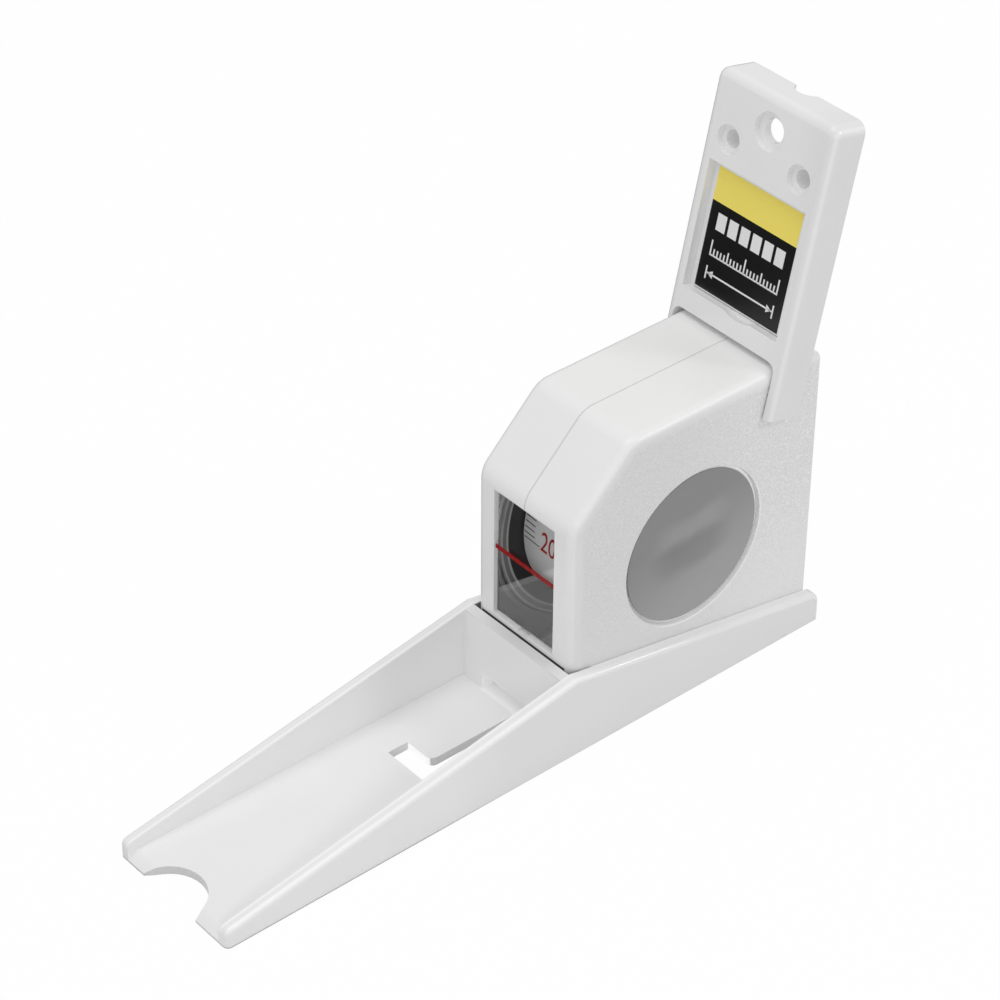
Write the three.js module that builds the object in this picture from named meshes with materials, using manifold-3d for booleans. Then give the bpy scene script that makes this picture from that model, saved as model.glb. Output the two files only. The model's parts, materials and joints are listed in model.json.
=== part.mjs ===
// A wall-hung stadiometer: a pull-down height tape in a two-part plastic case that stands in a long
// head plate, with the wall bracket at the tape's end resting on top of the case.
// Millimetres, +Z up. The tip and the reading window face -Y, the wall side is +Y, and the side disc
// faces +X. The origin lies on the head plate's underside, below the reel's axis.

import * as THREE from "three";
import { mergeVertices } from "three/addons/utils/BufferGeometryUtils.js";
import Module from "manifold-3d";

const wasm = await Module();
wasm.setup();

// Fits and cuts that many pieces share.
const seatGap = 0.3;
const cutOverrun = 4;

// Reel: a drum with one flange, a loose flange, the wound tape and the mainspring, on an arbor.
const tapeWidth = 24;
const flangeSideGap = 0.4;
const flangeThickness = 1;
const flangeRadius = 32.6;
const flangeRim = 6.5;
const woundDepth = 2.8;
const drumWall = 1.5;
const arborRadius = 3;
const arborSocketWall = 1.7;
const arborSocketRise = 0.5;
const arborPocketDepth = 0.4;
const arborSlotWidth = 0.9;
const springSideGap = 2;
const springThickness = 0.35;

// Case: two half shells that meet on the seam at X = 0. A rib on each side wall rings the reel.
const caseWall = 1.9;
const reelSideGap = 0.9;
const ringRibGap = 0.6;
const ringRibThickness = 1.1;
const ringRibDepth = 1.4;
const ringToEnds = 0.8;
const ringToFoot = 0.4;
const ringToRoof = 2.1;
const caseChamferBack = 17;
const caseChamferDrop = 16.8;
const caseEdgeRound = 2.4;
const caseCornerRound = 2.6;
const caseChamferRound = 6.5;
const caseRearRound = 3;

// Screws: three that join the shells, and two that hold the head plate from below.
const screwShankRadius = 1.1;
const screwHeadRadius = 2.2;
const screwHeadHeight = 1.2;
const screwBite = 8;
const screwCrossWidth = 0.7;
const screwCrossDepth = 0.6;
const screwBossWall = 1.4;
const shellScrewInset = 6.2;
const plateScrewSide = 8;
const plateScrewFromRear = 13;
const plateBossHeight = 5;
const plateScrewSink = 0.2;

// Reading window, its clear lens and the red reading line. Heights are from the reel's axis.
const windowSideCover = 1.8;
const windowBelowAxis = 16.1;
const windowAboveAxis = 18.6;
const lensSetBack = 0.8;
const lensThickness = 0.8;
const lensRim = 0.8;
const lensFlange = 1.4;
const lensFlangeThickness = 0.8;
const lensSlitWidth = 3.4;
const lensSlitHeight = 0.6;
const lineAboveAxis = 2.8;
const lineWidth = 0.8;
const lineThickness = 0.2;

// Grey disc let into the side of the case.
const discRadius = 20;
const discSideGap = 0.5;
const discThickness = 0.3;
const discSetBack = 0.6;

// Head plate: one moulding with a floor, two sloping side walls, a cross wall and a low rear wall.
const plateWall = 3;
const plateFloor = 2.3;
const trayLength = 96;
const tipHeight = 4.7;
const peakHeight = 21.7;
const rearHeight = 7.6;
const rearWall = 2.3;
const rearWallHeight = 4.9;
const plateEdgeRound = 1.4;
const tipCornerRound = 1.8;
const rearCornerRound = 3;
const tipRampLength = 2.4;
const tipRampDrop = 1.6;
const tipRampRound = 3;
const crossWallThickness = 2.7;
const crossWallDraft = 0.6;
const tipNotchRim = 7.6;
const tipNotchDepth = 8;
const tipNotchShift = 0.6;
const slotFromCrossWall = 25.6;
const slotAcrossLength = 5.8;
const slotAcrossHalf = 6.3;
const slotInnerEdge = 2;
const slotCornerRound = 1.8;
const slotUnderCase = 5.5;
const doorRim = 6.9;
const doorHeight = 4.4;

// Tape: its straight run out of the case, and the folded end round the tilt pin.
const tapeThickness = 0.2;
const tapeEndThickness = 0.4;
const tapeTailLength = 1.6;
const throatGap = 0.7;
const pinRadius = 1.2;
const pinAboveCase = 3.3;
const pinSocketDepth = 1.2;

// Wall bracket: a deep cap with two legs astride the case. Its own frame stands upright, with the
// plate's front face at Y = 0 and the height where it meets the case at Z = 0.
const legWall = 2.2;
const bracketHeight = 60;
const bracketDepth = 9.5;
const bracketPlate = 2.4;
const bracketTopWall = 2.2;
const bracketEdgeRound = 2.2;
const bracketCornerRound = 2.8;
const legLength = 12;
const barBottom = 1.7;
const archCornerRound = 2.4;
const recessBottom = 7;
const recessHeight = 31.6;
const recessSideRim = 3.45;
const recessDepth = 2.6;
const recessFloorWall = 1.3;
const scoopWidth = 8.4;
const scoopDrop = 0.8;
const scoopDepth = 2.2;
const scoopShift = 2.6;
const labelThickness = 0.4;
const labelSideMargin = 1.5;
const labelFootMargin = 0.35;
const labelTopMargin = 1;
const largeHoleHeight = 51.5;
const largeHoleRadius = 2.9;
const largeSeatRadius = 4.5;
const largeBossWall = 1.6;
const largeBossRise = 1.2;
const smallHoleHeight = 44.8;
const smallHoleInset = 7.6;
const smallHoleRadius = 2.1;
const smallSeatRadius = 3.5;
const smallBossWall = 1.5;
const holeSeatDepth = 1.6;
const hangNotchRadius = 3.4;
const hangNotchDepth = 2.6;
const pinBehindFace = 5.6;
const pinAboveRoots = 4.6;
const recessFootAbovePin = 1.45;

// Angles, counts and shares.
const leanBack = THREE.MathUtils.degToRad(12.3);
const springTurns = 8;
const springSteps = 24;
const arcSteps = 4;
const cornerSteps = 20;
const roundSteps = 40;
const screwSteps = 20;
const reelSteps = 64;
const crossArmShare = 0.72;
const shankPointShare = 0.5;

// Places that follow from the sizes above. The case is sized round the reel, and the head plate and
// the bracket are sized round the case.
const flangeInside = tapeWidth / 2 + flangeSideGap;
const shellInside = flangeInside + flangeThickness + reelSideGap;
const caseHalf = shellInside + caseWall;
const coilRadius = flangeRadius - flangeRim;
const drumRadius = coilRadius - woundDepth;
const ringRibInner = flangeRadius + ringRibGap;
const ringRibOuter = ringRibInner + ringRibThickness;
const caseBottom = plateFloor + seatGap;
const reelAxisHeight = caseBottom + caseWall + ringToFoot + ringRibOuter;
const caseTop = reelAxisHeight + ringRibOuter + ringToRoof + caseWall;
const caseRear = ringRibOuter + ringToEnds + caseWall;
const caseFront = -caseRear;
const plateInside = caseHalf + seatGap;
const plateHalf = plateInside + plateWall;
const plateRear = caseRear + seatGap + rearWall;
const plateScrewBack = caseRear - plateScrewFromRear;
const crossWallBack = caseFront - seatGap;
const crossWallFront = crossWallBack - crossWallThickness;
const plateTip = crossWallFront - trayLength;
const windowHalf = tapeWidth / 2 - windowSideCover;
const windowBottom = reelAxisHeight - windowBelowAxis;
const windowTop = reelAxisHeight + windowAboveAxis;
const springHalf = tapeWidth / 2 - springSideGap;
const tapeRunFront = coilRadius + seatGap;
const tapeRunMiddle = tapeRunFront + tapeThickness / 2;
const tapeEndInner = pinRadius + seatGap;
const tapeEndOuter = tapeEndInner + tapeEndThickness;
const pinBack = tapeRunMiddle + tapeEndInner + tapeEndThickness / 2;
const pinHeight = caseTop + pinAboveCase;
const screwHoleRadius = screwShankRadius + seatGap;
const screwBossRadius = screwHoleRadius + screwBossWall;
const bracketInside = caseHalf + seatGap;
const bracketHalf = bracketInside + legWall;
const recessHalf = bracketHalf - recessSideRim;

// Materials.
const finish = (color, roughness, metalness = 0) => {
  return new THREE.MeshStandardMaterial({ color, roughness, metalness });
};
const whitePlastic = () => finish(0xe4e4e2, 0.45);
const greyPlastic = () => finish(0x8f9193, 0.4);
const blackPlastic = () => finish(0x1c1c1d, 0.5);
const tapeWhite = () => finish(0xdedede, 0.4);
const labelInk = () => finish(0x262626, 0.45);
const lineRed = () => finish(0xc21f1a, 0.5);
const steel = () => finish(0xb4b6b8, 0.35, 1);
const springSteel = () => finish(0x6f747a, 0.35, 1);
const clearPlastic = () => {
  const material = finish(0xf2f6f6, 0.08);
  material.transparent = true;
  material.opacity = 0.3;
  return material;
};

const group = new THREE.Group();

// A closed three.js geometry as a solid. Triangles that shrink to a line at a pole are dropped, and
// a revolved surface that came out inside out is turned over.
function solidOf(geometry) {
  const bare = geometry.clone();
  bare.deleteAttribute("normal");
  bare.deleteAttribute("uv");
  const merged = mergeVertices(bare);
  const corners = merged.index.array;
  const kept = [];
  for (let i = 0; i < corners.length; i += 3) {
    const [a, b, c] = [corners[i], corners[i + 1], corners[i + 2]];
    if (a !== b && b !== c && c !== a) {
      kept.push(a, b, c);
    }
  }
  const vertProperties = new Float32Array(merged.attributes.position.array);
  const build = (order) => new wasm.Manifold(new wasm.Mesh({
    numProp: 3,
    vertProperties,
    triVerts: new Uint32Array(order),
  }));
  const solid = build(kept);
  return solid.volume() > 0 ? solid : build(kept.reverse());
}

function geometryOf(solid) {
  const mesh = solid.getMesh();
  const points = new Float32Array(mesh.numVert * 3);
  for (let i = 0; i < mesh.numVert; i += 1) {
    for (let k = 0; k < 3; k += 1) {
      points[i * 3 + k] = mesh.vertProperties[i * mesh.numProp + k];
    }
  }
  const geometry = new THREE.BufferGeometry();
  geometry.setAttribute("position", new THREE.BufferAttribute(points, 3));
  geometry.setIndex(new THREE.BufferAttribute(new Uint32Array(mesh.triVerts), 1));
  geometry.computeVertexNormals();
  return geometry;
}

function addPiece(name, solid, material, parent = group) {
  const mesh = new THREE.Mesh(geometryOf(solid), material);
  mesh.name = name;
  parent.add(mesh);
  return mesh;
}

// A closed outline from corners [a, b, radius], each rounded by an arc of that radius.
function outline(corners) {
  const points = [];
  const at = (i) => new THREE.Vector2(...corners[(i + corners.length) % corners.length].slice(0, 2));
  corners.forEach(([, , radius = 0], i) => {
    const here = at(i);
    const toBefore = at(i - 1).sub(here);
    const toAfter = at(i + 1).sub(here);
    const half = Math.abs(toBefore.angleTo(toAfter)) / 2;
    const reach = Math.min(toBefore.length(), toAfter.length()) / 2;
    const size = Math.min(radius, reach * Math.tan(half));
    if (size <= 0) {
      points.push(here);
      return;
    }
    toBefore.normalize();
    toAfter.normalize();
    const towards = toBefore.clone().add(toAfter).normalize();
    const centre = here.clone().addScaledVector(towards, size / Math.sin(half));
    const start = here.clone().addScaledVector(toBefore, size / Math.tan(half)).sub(centre);
    const end = here.clone().addScaledVector(toAfter, size / Math.tan(half)).sub(centre);
    const turn = Math.atan2(start.cross(end), start.dot(end));
    for (let k = 0; k <= arcSteps; k += 1) {
      points.push(start.clone().rotateAround(new THREE.Vector2(), (turn * k) / arcSteps).add(centre));
    }
  });
  return new THREE.Shape(points);
}

function rectangle(a0, b0, a1, b1, radius = 0) {
  return outline([[a0, b0, radius], [a1, b0, radius], [a1, b1, radius], [a0, b1, radius]]);
}

function circle(a, b, radius, steps = roundSteps) {
  const points = [];
  for (let i = 0; i < steps; i += 1) {
    const angle = (2 * Math.PI * i) / steps;
    points.push(new THREE.Vector2(a + radius * Math.cos(angle), b + radius * Math.sin(angle)));
  }
  return new THREE.Shape(points);
}

// Bars of a given outline. A rim rounds both end edges inside the outline.
function extruded(shape, length, rim) {
  return new THREE.ExtrudeGeometry(shape, {
    depth: length - 2 * rim,
    steps: 1,
    bevelEnabled: rim > 0,
    bevelThickness: rim,
    bevelSize: rim,
    bevelOffset: -rim,
    bevelSegments: arcSteps,
  }).translate(0, 0, rim);
}

const outlineFacesX = new THREE.Matrix4().makeBasis(
  new THREE.Vector3(0, 1, 0),
  new THREE.Vector3(0, 0, 1),
  new THREE.Vector3(1, 0, 0),
);
const outlineFacesY = new THREE.Matrix4().makeBasis(
  new THREE.Vector3(1, 0, 0),
  new THREE.Vector3(0, 0, 1),
  new THREE.Vector3(0, -1, 0),
);

// The outline is drawn in Y and Z, and the bar runs from x0 to x1.
function barX(shape, x0, x1, rim = 0) {
  return solidOf(extruded(shape, x1 - x0, rim).applyMatrix4(outlineFacesX).translate(x0, 0, 0));
}

// The outline is drawn in X and Z, and the bar runs from y0 to y1.
function barY(shape, y0, y1, rim = 0) {
  return solidOf(extruded(shape, y1 - y0, rim).applyMatrix4(outlineFacesY).translate(0, y1, 0));
}

// The outline is drawn in X and Y, and the bar runs from z0 to z1.
function barZ(shape, z0, z1, rim = 0) {
  return solidOf(extruded(shape, z1 - z0, rim).translate(0, 0, z0));
}

function box(x0, x1, y0, y1, z0, z1) {
  return solidOf(new THREE.BoxGeometry(x1 - x0, y1 - y0, z1 - z0)
    .translate((x0 + x1) / 2, (y0 + y1) / 2, (z0 + z1) / 2));
}

// A solid revolved about the reel's axis: the profile is closed and lists [radius, x].
function revolved(profile) {
  const points = [...profile, profile[0]].map(([radius, x]) => new THREE.Vector2(radius, x));
  const geometry = new THREE.LatheGeometry(points, reelSteps);
  return solidOf(geometry.rotateZ(-Math.PI / 2).translate(0, 0, reelAxisHeight));
}

// A screw on the Z axis: the head's outer face is at Z = 0 and the shank points to +Z.
function screw(length, underHeadRadius) {
  const point = screwShankRadius * shankPointShare;
  const profile = [
    [0, 0],
    [screwHeadRadius, 0],
    [underHeadRadius, screwHeadHeight],
    [screwShankRadius, screwHeadHeight],
    [screwShankRadius, length - point],
    [screwShankRadius - point, length],
    [0, length],
  ];
  const points = profile.map(([radius, height]) => new THREE.Vector2(radius, height));
  const body = solidOf(new THREE.LatheGeometry(points, screwSteps).rotateX(Math.PI / 2));
  const arm = screwHeadRadius * crossArmShare;
  const half = screwCrossWidth / 2;
  const lengthwise = box(-arm, arm, -half, half, -cutOverrun, screwCrossDepth);
  const crosswise = box(-half, half, -arm, arm, -cutOverrun, screwCrossDepth);
  return body.subtract(lengthwise).subtract(crosswise);
}

// Head plate: one block of the side view's outline, with the tray and the case's seat sunk into it.
// The block starts below the underside, so that the cut that ends it leaves the lower edges crisp.
function headPlate() {
  const side = outline([
    [plateTip, -cutOverrun],
    [plateRear, -cutOverrun],
    [plateRear, rearHeight, rearCornerRound],
    [crossWallBack, peakHeight],
    [plateTip, tipHeight, tipCornerRound],
  ]);
  const above = peakHeight + cutOverrun;
  const sunk = (y0, y1, floor, ceiling = above, half = plateInside) => {
    return box(-half, half, y0, y1, floor, ceiling);
  };
  const rampFall = (tipRampDrop * (tipRampLength + cutOverrun)) / tipRampLength;
  const tray = outline([
    [plateTip - cutOverrun, plateFloor - rampFall],
    [plateTip + tipRampLength, plateFloor, tipRampRound],
    [crossWallFront - crossWallDraft, plateFloor],
    [crossWallFront, peakHeight],
    [crossWallFront, above],
    [plateTip - cutOverrun, above],
  ]);
  const doorHalf = plateInside - doorRim;
  const doorTop = plateFloor + doorHeight;
  const rearWallFront = caseRear + seatGap;
  const beyondRear = plateRear + cutOverrun;
  let plate = barX(side, -plateHalf, plateHalf, plateEdgeRound)
    .subtract(sunk(plateTip - cutOverrun, beyondRear, -2 * cutOverrun, 0, plateHalf + cutOverrun))
    .subtract(barX(tray, -plateInside, plateInside))
    .subtract(sunk(crossWallBack, rearWallFront, plateFloor))
    .subtract(sunk(caseRear - cutOverrun, beyondRear, rearWallHeight))
    .subtract(sunk(crossWallFront - cutOverrun, caseFront, plateFloor, doorTop, doorHalf));
  const notchHalf = plateInside - tipNotchRim;
  const notchRadius = (notchHalf ** 2 + tipNotchDepth ** 2) / (2 * tipNotchDepth);
  const notchCentre = plateTip + tipNotchDepth - notchRadius;
  plate = plate.subtract(barZ(circle(-tipNotchShift, notchCentre, notchRadius), -cutOverrun, cutOverrun));
  const slotBack = crossWallFront - slotFromCrossWall;
  const slotFront = slotBack - slotAcrossLength;
  const slotEnd = crossWallBack + slotUnderCase;
  const slot = outline([
    [-slotAcrossHalf, slotFront],
    [slotAcrossHalf, slotFront],
    [slotAcrossHalf, slotEnd],
    [slotInnerEdge, slotEnd],
    [slotInnerEdge, slotBack, slotCornerRound],
    [-slotAcrossHalf, slotBack],
  ]);
  plate = plate.subtract(barZ(slot, -cutOverrun, plateFloor + doorHeight / 2));
  const sinkDepth = plateScrewSink + screwHeadHeight;
  const mouth = screwHeadRadius + seatGap + plateScrewSink;
  const flare = ((mouth - screwHoleRadius) * cutOverrun) / sinkDepth;
  const sink = [
    [0, -cutOverrun],
    [mouth + flare, -cutOverrun],
    [screwHoleRadius, sinkDepth],
    [screwHoleRadius, plateFloor + cutOverrun],
    [0, plateFloor + cutOverrun],
  ].map(([radius, height]) => new THREE.Vector2(radius, height));
  for (const sideSign of [-1, 1]) {
    plate = plate.subtract(solidOf(new THREE.LatheGeometry(sink, screwSteps)
      .rotateX(Math.PI / 2)
      .translate(sideSign * plateScrewSide, plateScrewBack, 0)));
  }
  return plate;
}
addPiece("head_plate", headPlate(), whitePlastic());

// Case shells. The outline stands in from the outer face by the wanted depth, and its rear line can
// be moved.
function caseOutline(depth, chamferRound, rear = caseRear - depth) {
  const round = caseCornerRound - depth;
  const slope = Math.atan2(caseChamferDrop, caseChamferBack);
  const shiftBack = depth * Math.tan(slope / 2);
  const shiftDown = depth * Math.tan((Math.PI / 2 - slope) / 2);
  return outline([
    [caseFront + depth, caseBottom + depth, round],
    [rear, caseBottom + depth, round],
    [rear, caseTop - depth, round],
    [caseFront + caseChamferBack + shiftBack, caseTop - depth, chamferRound],
    [caseFront + depth, caseTop - caseChamferDrop - shiftDown, chamferRound],
  ]);
}

// The outer block is longer than the case and is cut off at the rear, so that its rear edges are
// crisp. Only the upper rear corner is round there.
function caseBlock() {
  const beyond = caseRear + caseEdgeRound + cutOverrun;
  const outer = caseOutline(0, caseChamferRound, beyond);
  const cornerBack = caseRear - caseRearRound;
  const cornerHigh = caseTop - caseRearRound;
  const half = caseHalf + cutOverrun;
  const above = caseTop + cutOverrun;
  const arc = barX(circle(cornerBack, cornerHigh, caseRearRound, cornerSteps), -2 * half, 2 * half);
  const corner = box(-half, half, cornerBack, beyond, cornerHigh, above).subtract(arc);
  return barX(outer, -caseHalf, caseHalf, caseEdgeRound)
    .subtract(box(-half, half, caseRear, 2 * beyond, caseBottom - cutOverrun, above))
    .subtract(corner);
}

// The shells' screws stand in three corners: [y, z].
const shellScrewPlaces = [
  [caseFront + shellScrewInset, caseBottom + shellScrewInset],
  [caseRear - shellScrewInset, caseBottom + shellScrewInset],
  [caseRear - shellScrewInset, caseTop - shellScrewInset],
];
const shellScrewHeadSeat = -caseHalf + screwHeadHeight + 2 * seatGap;

function caseShell(sideSign) {
  const hollow = caseOutline(caseWall, caseCornerRound - caseWall);
  let shell = caseBlock().subtract(barX(hollow, -shellInside, shellInside));
  const ribFace = shellInside - ringRibDepth;
  const nearWall = shellInside + caseWall / 2;
  const alongSide = (a, b) => (sideSign > 0 ? [a, b] : [-b, -a]);
  const onSide = (shape, a, b) => barX(shape, ...alongSide(a, b));
  const ringEdge = circle(0, reelAxisHeight, ringRibOuter, reelSteps);
  const ringBore = circle(0, reelAxisHeight, ringRibInner, reelSteps);
  shell = shell
    .add(onSide(ringEdge, ribFace, nearWall)
      .subtract(onSide(ringBore, ribFace - cutOverrun, shellInside)));
  const socketFace = shellInside - arborSocketRise;
  const pocketEnd = shellInside + arborPocketDepth;
  const socketBore = arborRadius + seatGap;
  shell = shell
    .add(onSide(circle(0, reelAxisHeight, socketBore + arborSocketWall), socketFace, nearWall))
    .subtract(onSide(circle(0, reelAxisHeight, socketBore), socketFace - cutOverrun, pocketEnd));
  for (const [y, z] of shellScrewPlaces) {
    shell = shell.add(onSide(circle(y, z, screwBossRadius), 0, nearWall));
    const holeEnd = sideSign > 0 ? screwBite + seatGap : caseHalf + cutOverrun;
    shell = shell.subtract(onSide(circle(y, z, screwHoleRadius), -cutOverrun, holeEnd));
    if (sideSign < 0) {
      const headHole = circle(y, z, screwHeadRadius + seatGap);
      shell = shell.subtract(barX(headHole, -caseHalf - cutOverrun, shellScrewHeadSeat));
    }
  }
  const bossTop = caseBottom + caseWall + plateBossHeight;
  const screwX = sideSign * plateScrewSide;
  const boss = circle(screwX, plateScrewBack, screwBossRadius);
  const bossHole = circle(screwX, plateScrewBack, screwHoleRadius);
  shell = shell.add(barZ(boss, caseBottom + caseWall / 2, bossTop));
  shell = shell.subtract(barZ(bossHole, caseBottom - cutOverrun, bossTop - screwBossWall));
  const throughFront = (half, z0, z1) => {
    return box(-half, half, caseFront - cutOverrun, caseFront + caseWall + cutOverrun / 2, z0, z1);
  };
  shell = shell
    .subtract(throughFront(windowHalf, windowBottom, windowTop))
    .subtract(throughFront(lensSlitWidth / 2, windowBottom - lensSlitHeight, windowTop));
  const throatHalf = tapeWidth / 2 + throatGap;
  shell = shell.subtract(box(
    -throatHalf,
    throatHalf,
    tapeRunMiddle - throatGap,
    tapeRunMiddle + throatGap,
    caseTop - caseWall - cutOverrun / 2,
    caseTop + cutOverrun,
  ));
  if (sideSign > 0) {
    const recess = circle(0, reelAxisHeight, discRadius + discSideGap, reelSteps);
    const floor = caseHalf - discSetBack - discThickness - seatGap;
    shell = shell.subtract(barX(recess, floor, caseHalf + cutOverrun));
  }
  const [x0, x1] = alongSide(seatGap / 2, caseHalf + cutOverrun);
  const half = box(
    x0,
    x1,
    caseFront - cutOverrun,
    caseRear + cutOverrun,
    caseBottom - cutOverrun,
    caseTop + cutOverrun,
  );
  return shell.intersect(half);
}
addPiece("case_shell_left", caseShell(-1), whitePlastic());
addPiece("case_shell_right", caseShell(1), whitePlastic());

// Shell screws go in from the plain side, and the plate screws from below.
shellScrewPlaces.forEach(([y, z], i) => {
  const headFace = -caseHalf + seatGap;
  const length = screwBite - headFace;
  const piece = addPiece(`shell_screw_${i + 1}`, screw(length, screwHeadRadius), steel());
  piece.rotation.y = Math.PI / 2;
  piece.position.set(headFace, y, z);
});
[-1, 1].forEach((sideSign, i) => {
  const length = caseBottom + caseWall + plateBossHeight - screwBossWall - seatGap - plateScrewSink;
  const piece = addPiece(`plate_screw_${i + 1}`, screw(length, screwShankRadius), steel());
  piece.position.set(sideSign * plateScrewSide, plateScrewBack, plateScrewSink);
});

// Reading window: a thin pane in a shallow frame, whose flange lies behind the case's wall. The red
// line crosses the pane's outer face.
const paneFront = caseFront + lensSetBack;
function windowLens() {
  const half = windowHalf - seatGap;
  const foot = windowBottom + seatGap;
  const head = windowTop - seatGap;
  const flangeFront = caseFront + caseWall + seatGap;
  const flangeBack = flangeFront + lensFlangeThickness;
  const frame = box(-half, half, paneFront, flangeBack, foot, head);
  const flange = box(
    -windowHalf - lensFlange,
    windowHalf + lensFlange,
    flangeFront,
    flangeBack,
    windowBottom - lensFlange,
    windowTop + lensFlange,
  );
  const hollow = box(
    -half + lensRim,
    half - lensRim,
    paneFront + lensThickness,
    flangeBack + cutOverrun,
    foot + lensRim,
    head - lensRim,
  );
  return frame.add(flange).subtract(hollow);
}
addPiece("window_lens", windowLens(), clearPlastic());

const lineBack = paneFront - seatGap;
const lineHalf = windowHalf - seatGap;
const lineBottom = reelAxisHeight + lineAboveAxis - lineWidth / 2;
addPiece(
  "reading_line",
  box(-lineHalf, lineHalf, lineBack - lineThickness, lineBack, lineBottom, lineBottom + lineWidth),
  lineRed(),
);

// Side disc.
const discOuterFace = caseHalf - discSetBack;
addPiece(
  "side_disc",
  barX(circle(0, reelAxisHeight, discRadius, reelSteps), discOuterFace - discThickness, discOuterFace),
  greyPlastic(),
);

// Reel.
const boreRadius = arborRadius + seatGap;
const drumInside = drumRadius - drumWall;
addPiece("reel_spool", revolved([
  [boreRadius, -flangeInside - flangeThickness],
  [flangeRadius, -flangeInside - flangeThickness],
  [flangeRadius, -flangeInside],
  [drumRadius, -flangeInside],
  [drumRadius, flangeInside - seatGap],
  [drumInside, flangeInside - seatGap],
  [drumInside, -flangeInside],
  [boreRadius, -flangeInside],
]), blackPlastic());
addPiece("reel_flange", revolved([
  [boreRadius, flangeInside],
  [flangeRadius, flangeInside],
  [flangeRadius, flangeInside + flangeThickness],
  [boreRadius, flangeInside + flangeThickness],
]), blackPlastic());
addPiece("tape_coil", revolved([
  [drumRadius + seatGap, -tapeWidth / 2],
  [coilRadius, -tapeWidth / 2],
  [coilRadius, tapeWidth / 2],
  [drumRadius + seatGap, tapeWidth / 2],
]), tapeWhite());

function arbor() {
  const half = shellInside + arborPocketDepth - seatGap;
  const post = barX(circle(0, reelAxisHeight, arborRadius), -half, half);
  const slotHalf = arborSlotWidth / 2;
  return post.subtract(box(
    -springHalf,
    half + cutOverrun,
    -arborRadius - cutOverrun,
    arborRadius + cutOverrun,
    reelAxisHeight - slotHalf,
    reelAxisHeight + slotHalf,
  ));
}
addPiece("arbor", arbor(), steel());

// The mainspring is one flat strip, wound from the arbor out to the drum's wall.
function mainspring() {
  const inner = arborRadius + seatGap;
  const outer = drumInside - seatGap - springThickness;
  const steps = springTurns * springSteps;
  const along = (radiusShift) => {
    const points = [];
    for (let i = 0; i <= steps; i += 1) {
      const angle = (2 * Math.PI * i) / springSteps;
      const radius = inner + ((outer - inner) * i) / steps + radiusShift;
      points.push(new THREE.Vector2(
        radius * Math.cos(angle),
        reelAxisHeight + radius * Math.sin(angle),
      ));
    }
    return points;
  };
  const strip = new THREE.Shape([...along(springThickness), ...along(0).reverse()]);
  return barX(strip, -springHalf, springHalf);
}
addPiece("mainspring", mainspring(), springSteel());

// Tape run, straight up from the coil's rear side, and the folded end that hangs on the pin.
addPiece(
  "tape_run",
  box(-tapeWidth / 2, tapeWidth / 2, tapeRunFront, tapeRunFront + tapeThickness, reelAxisHeight, caseTop),
  tapeWhite(),
);

function tapeEnd() {
  const half = tapeWidth / 2;
  const tailEnd = pinHeight - tapeTailLength;
  const hoop = barX(circle(pinBack, pinHeight, tapeEndOuter), -half, half)
    .subtract(barX(circle(pinBack, pinHeight, tapeEndInner), -half - cutOverrun, half + cutOverrun));
  const above = box(
    -half,
    half,
    pinBack - tapeEndOuter - cutOverrun,
    pinBack + tapeEndOuter + cutOverrun,
    pinHeight,
    pinHeight + tapeEndOuter + cutOverrun,
  );
  const front = box(
    -half,
    half,
    pinBack - tapeEndOuter,
    pinBack - tapeEndInner,
    caseTop + seatGap,
    pinHeight,
  );
  const tail = box(-half, half, pinBack + tapeEndInner, pinBack + tapeEndOuter, tailEnd, pinHeight);
  return hoop.intersect(above).add(front).add(tail);
}
addPiece("tape_end", tapeEnd(), tapeWhite());

// Wall bracket, turned about the tilt pin.
const tilted = new THREE.Group();
tilted.position.set(0, pinBack, pinHeight);
tilted.rotation.x = -leanBack;
const upright = new THREE.Group();
upright.position.set(0, -pinBehindFace, -pinAboveRoots);
tilted.add(upright);
group.add(tilted);

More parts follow.
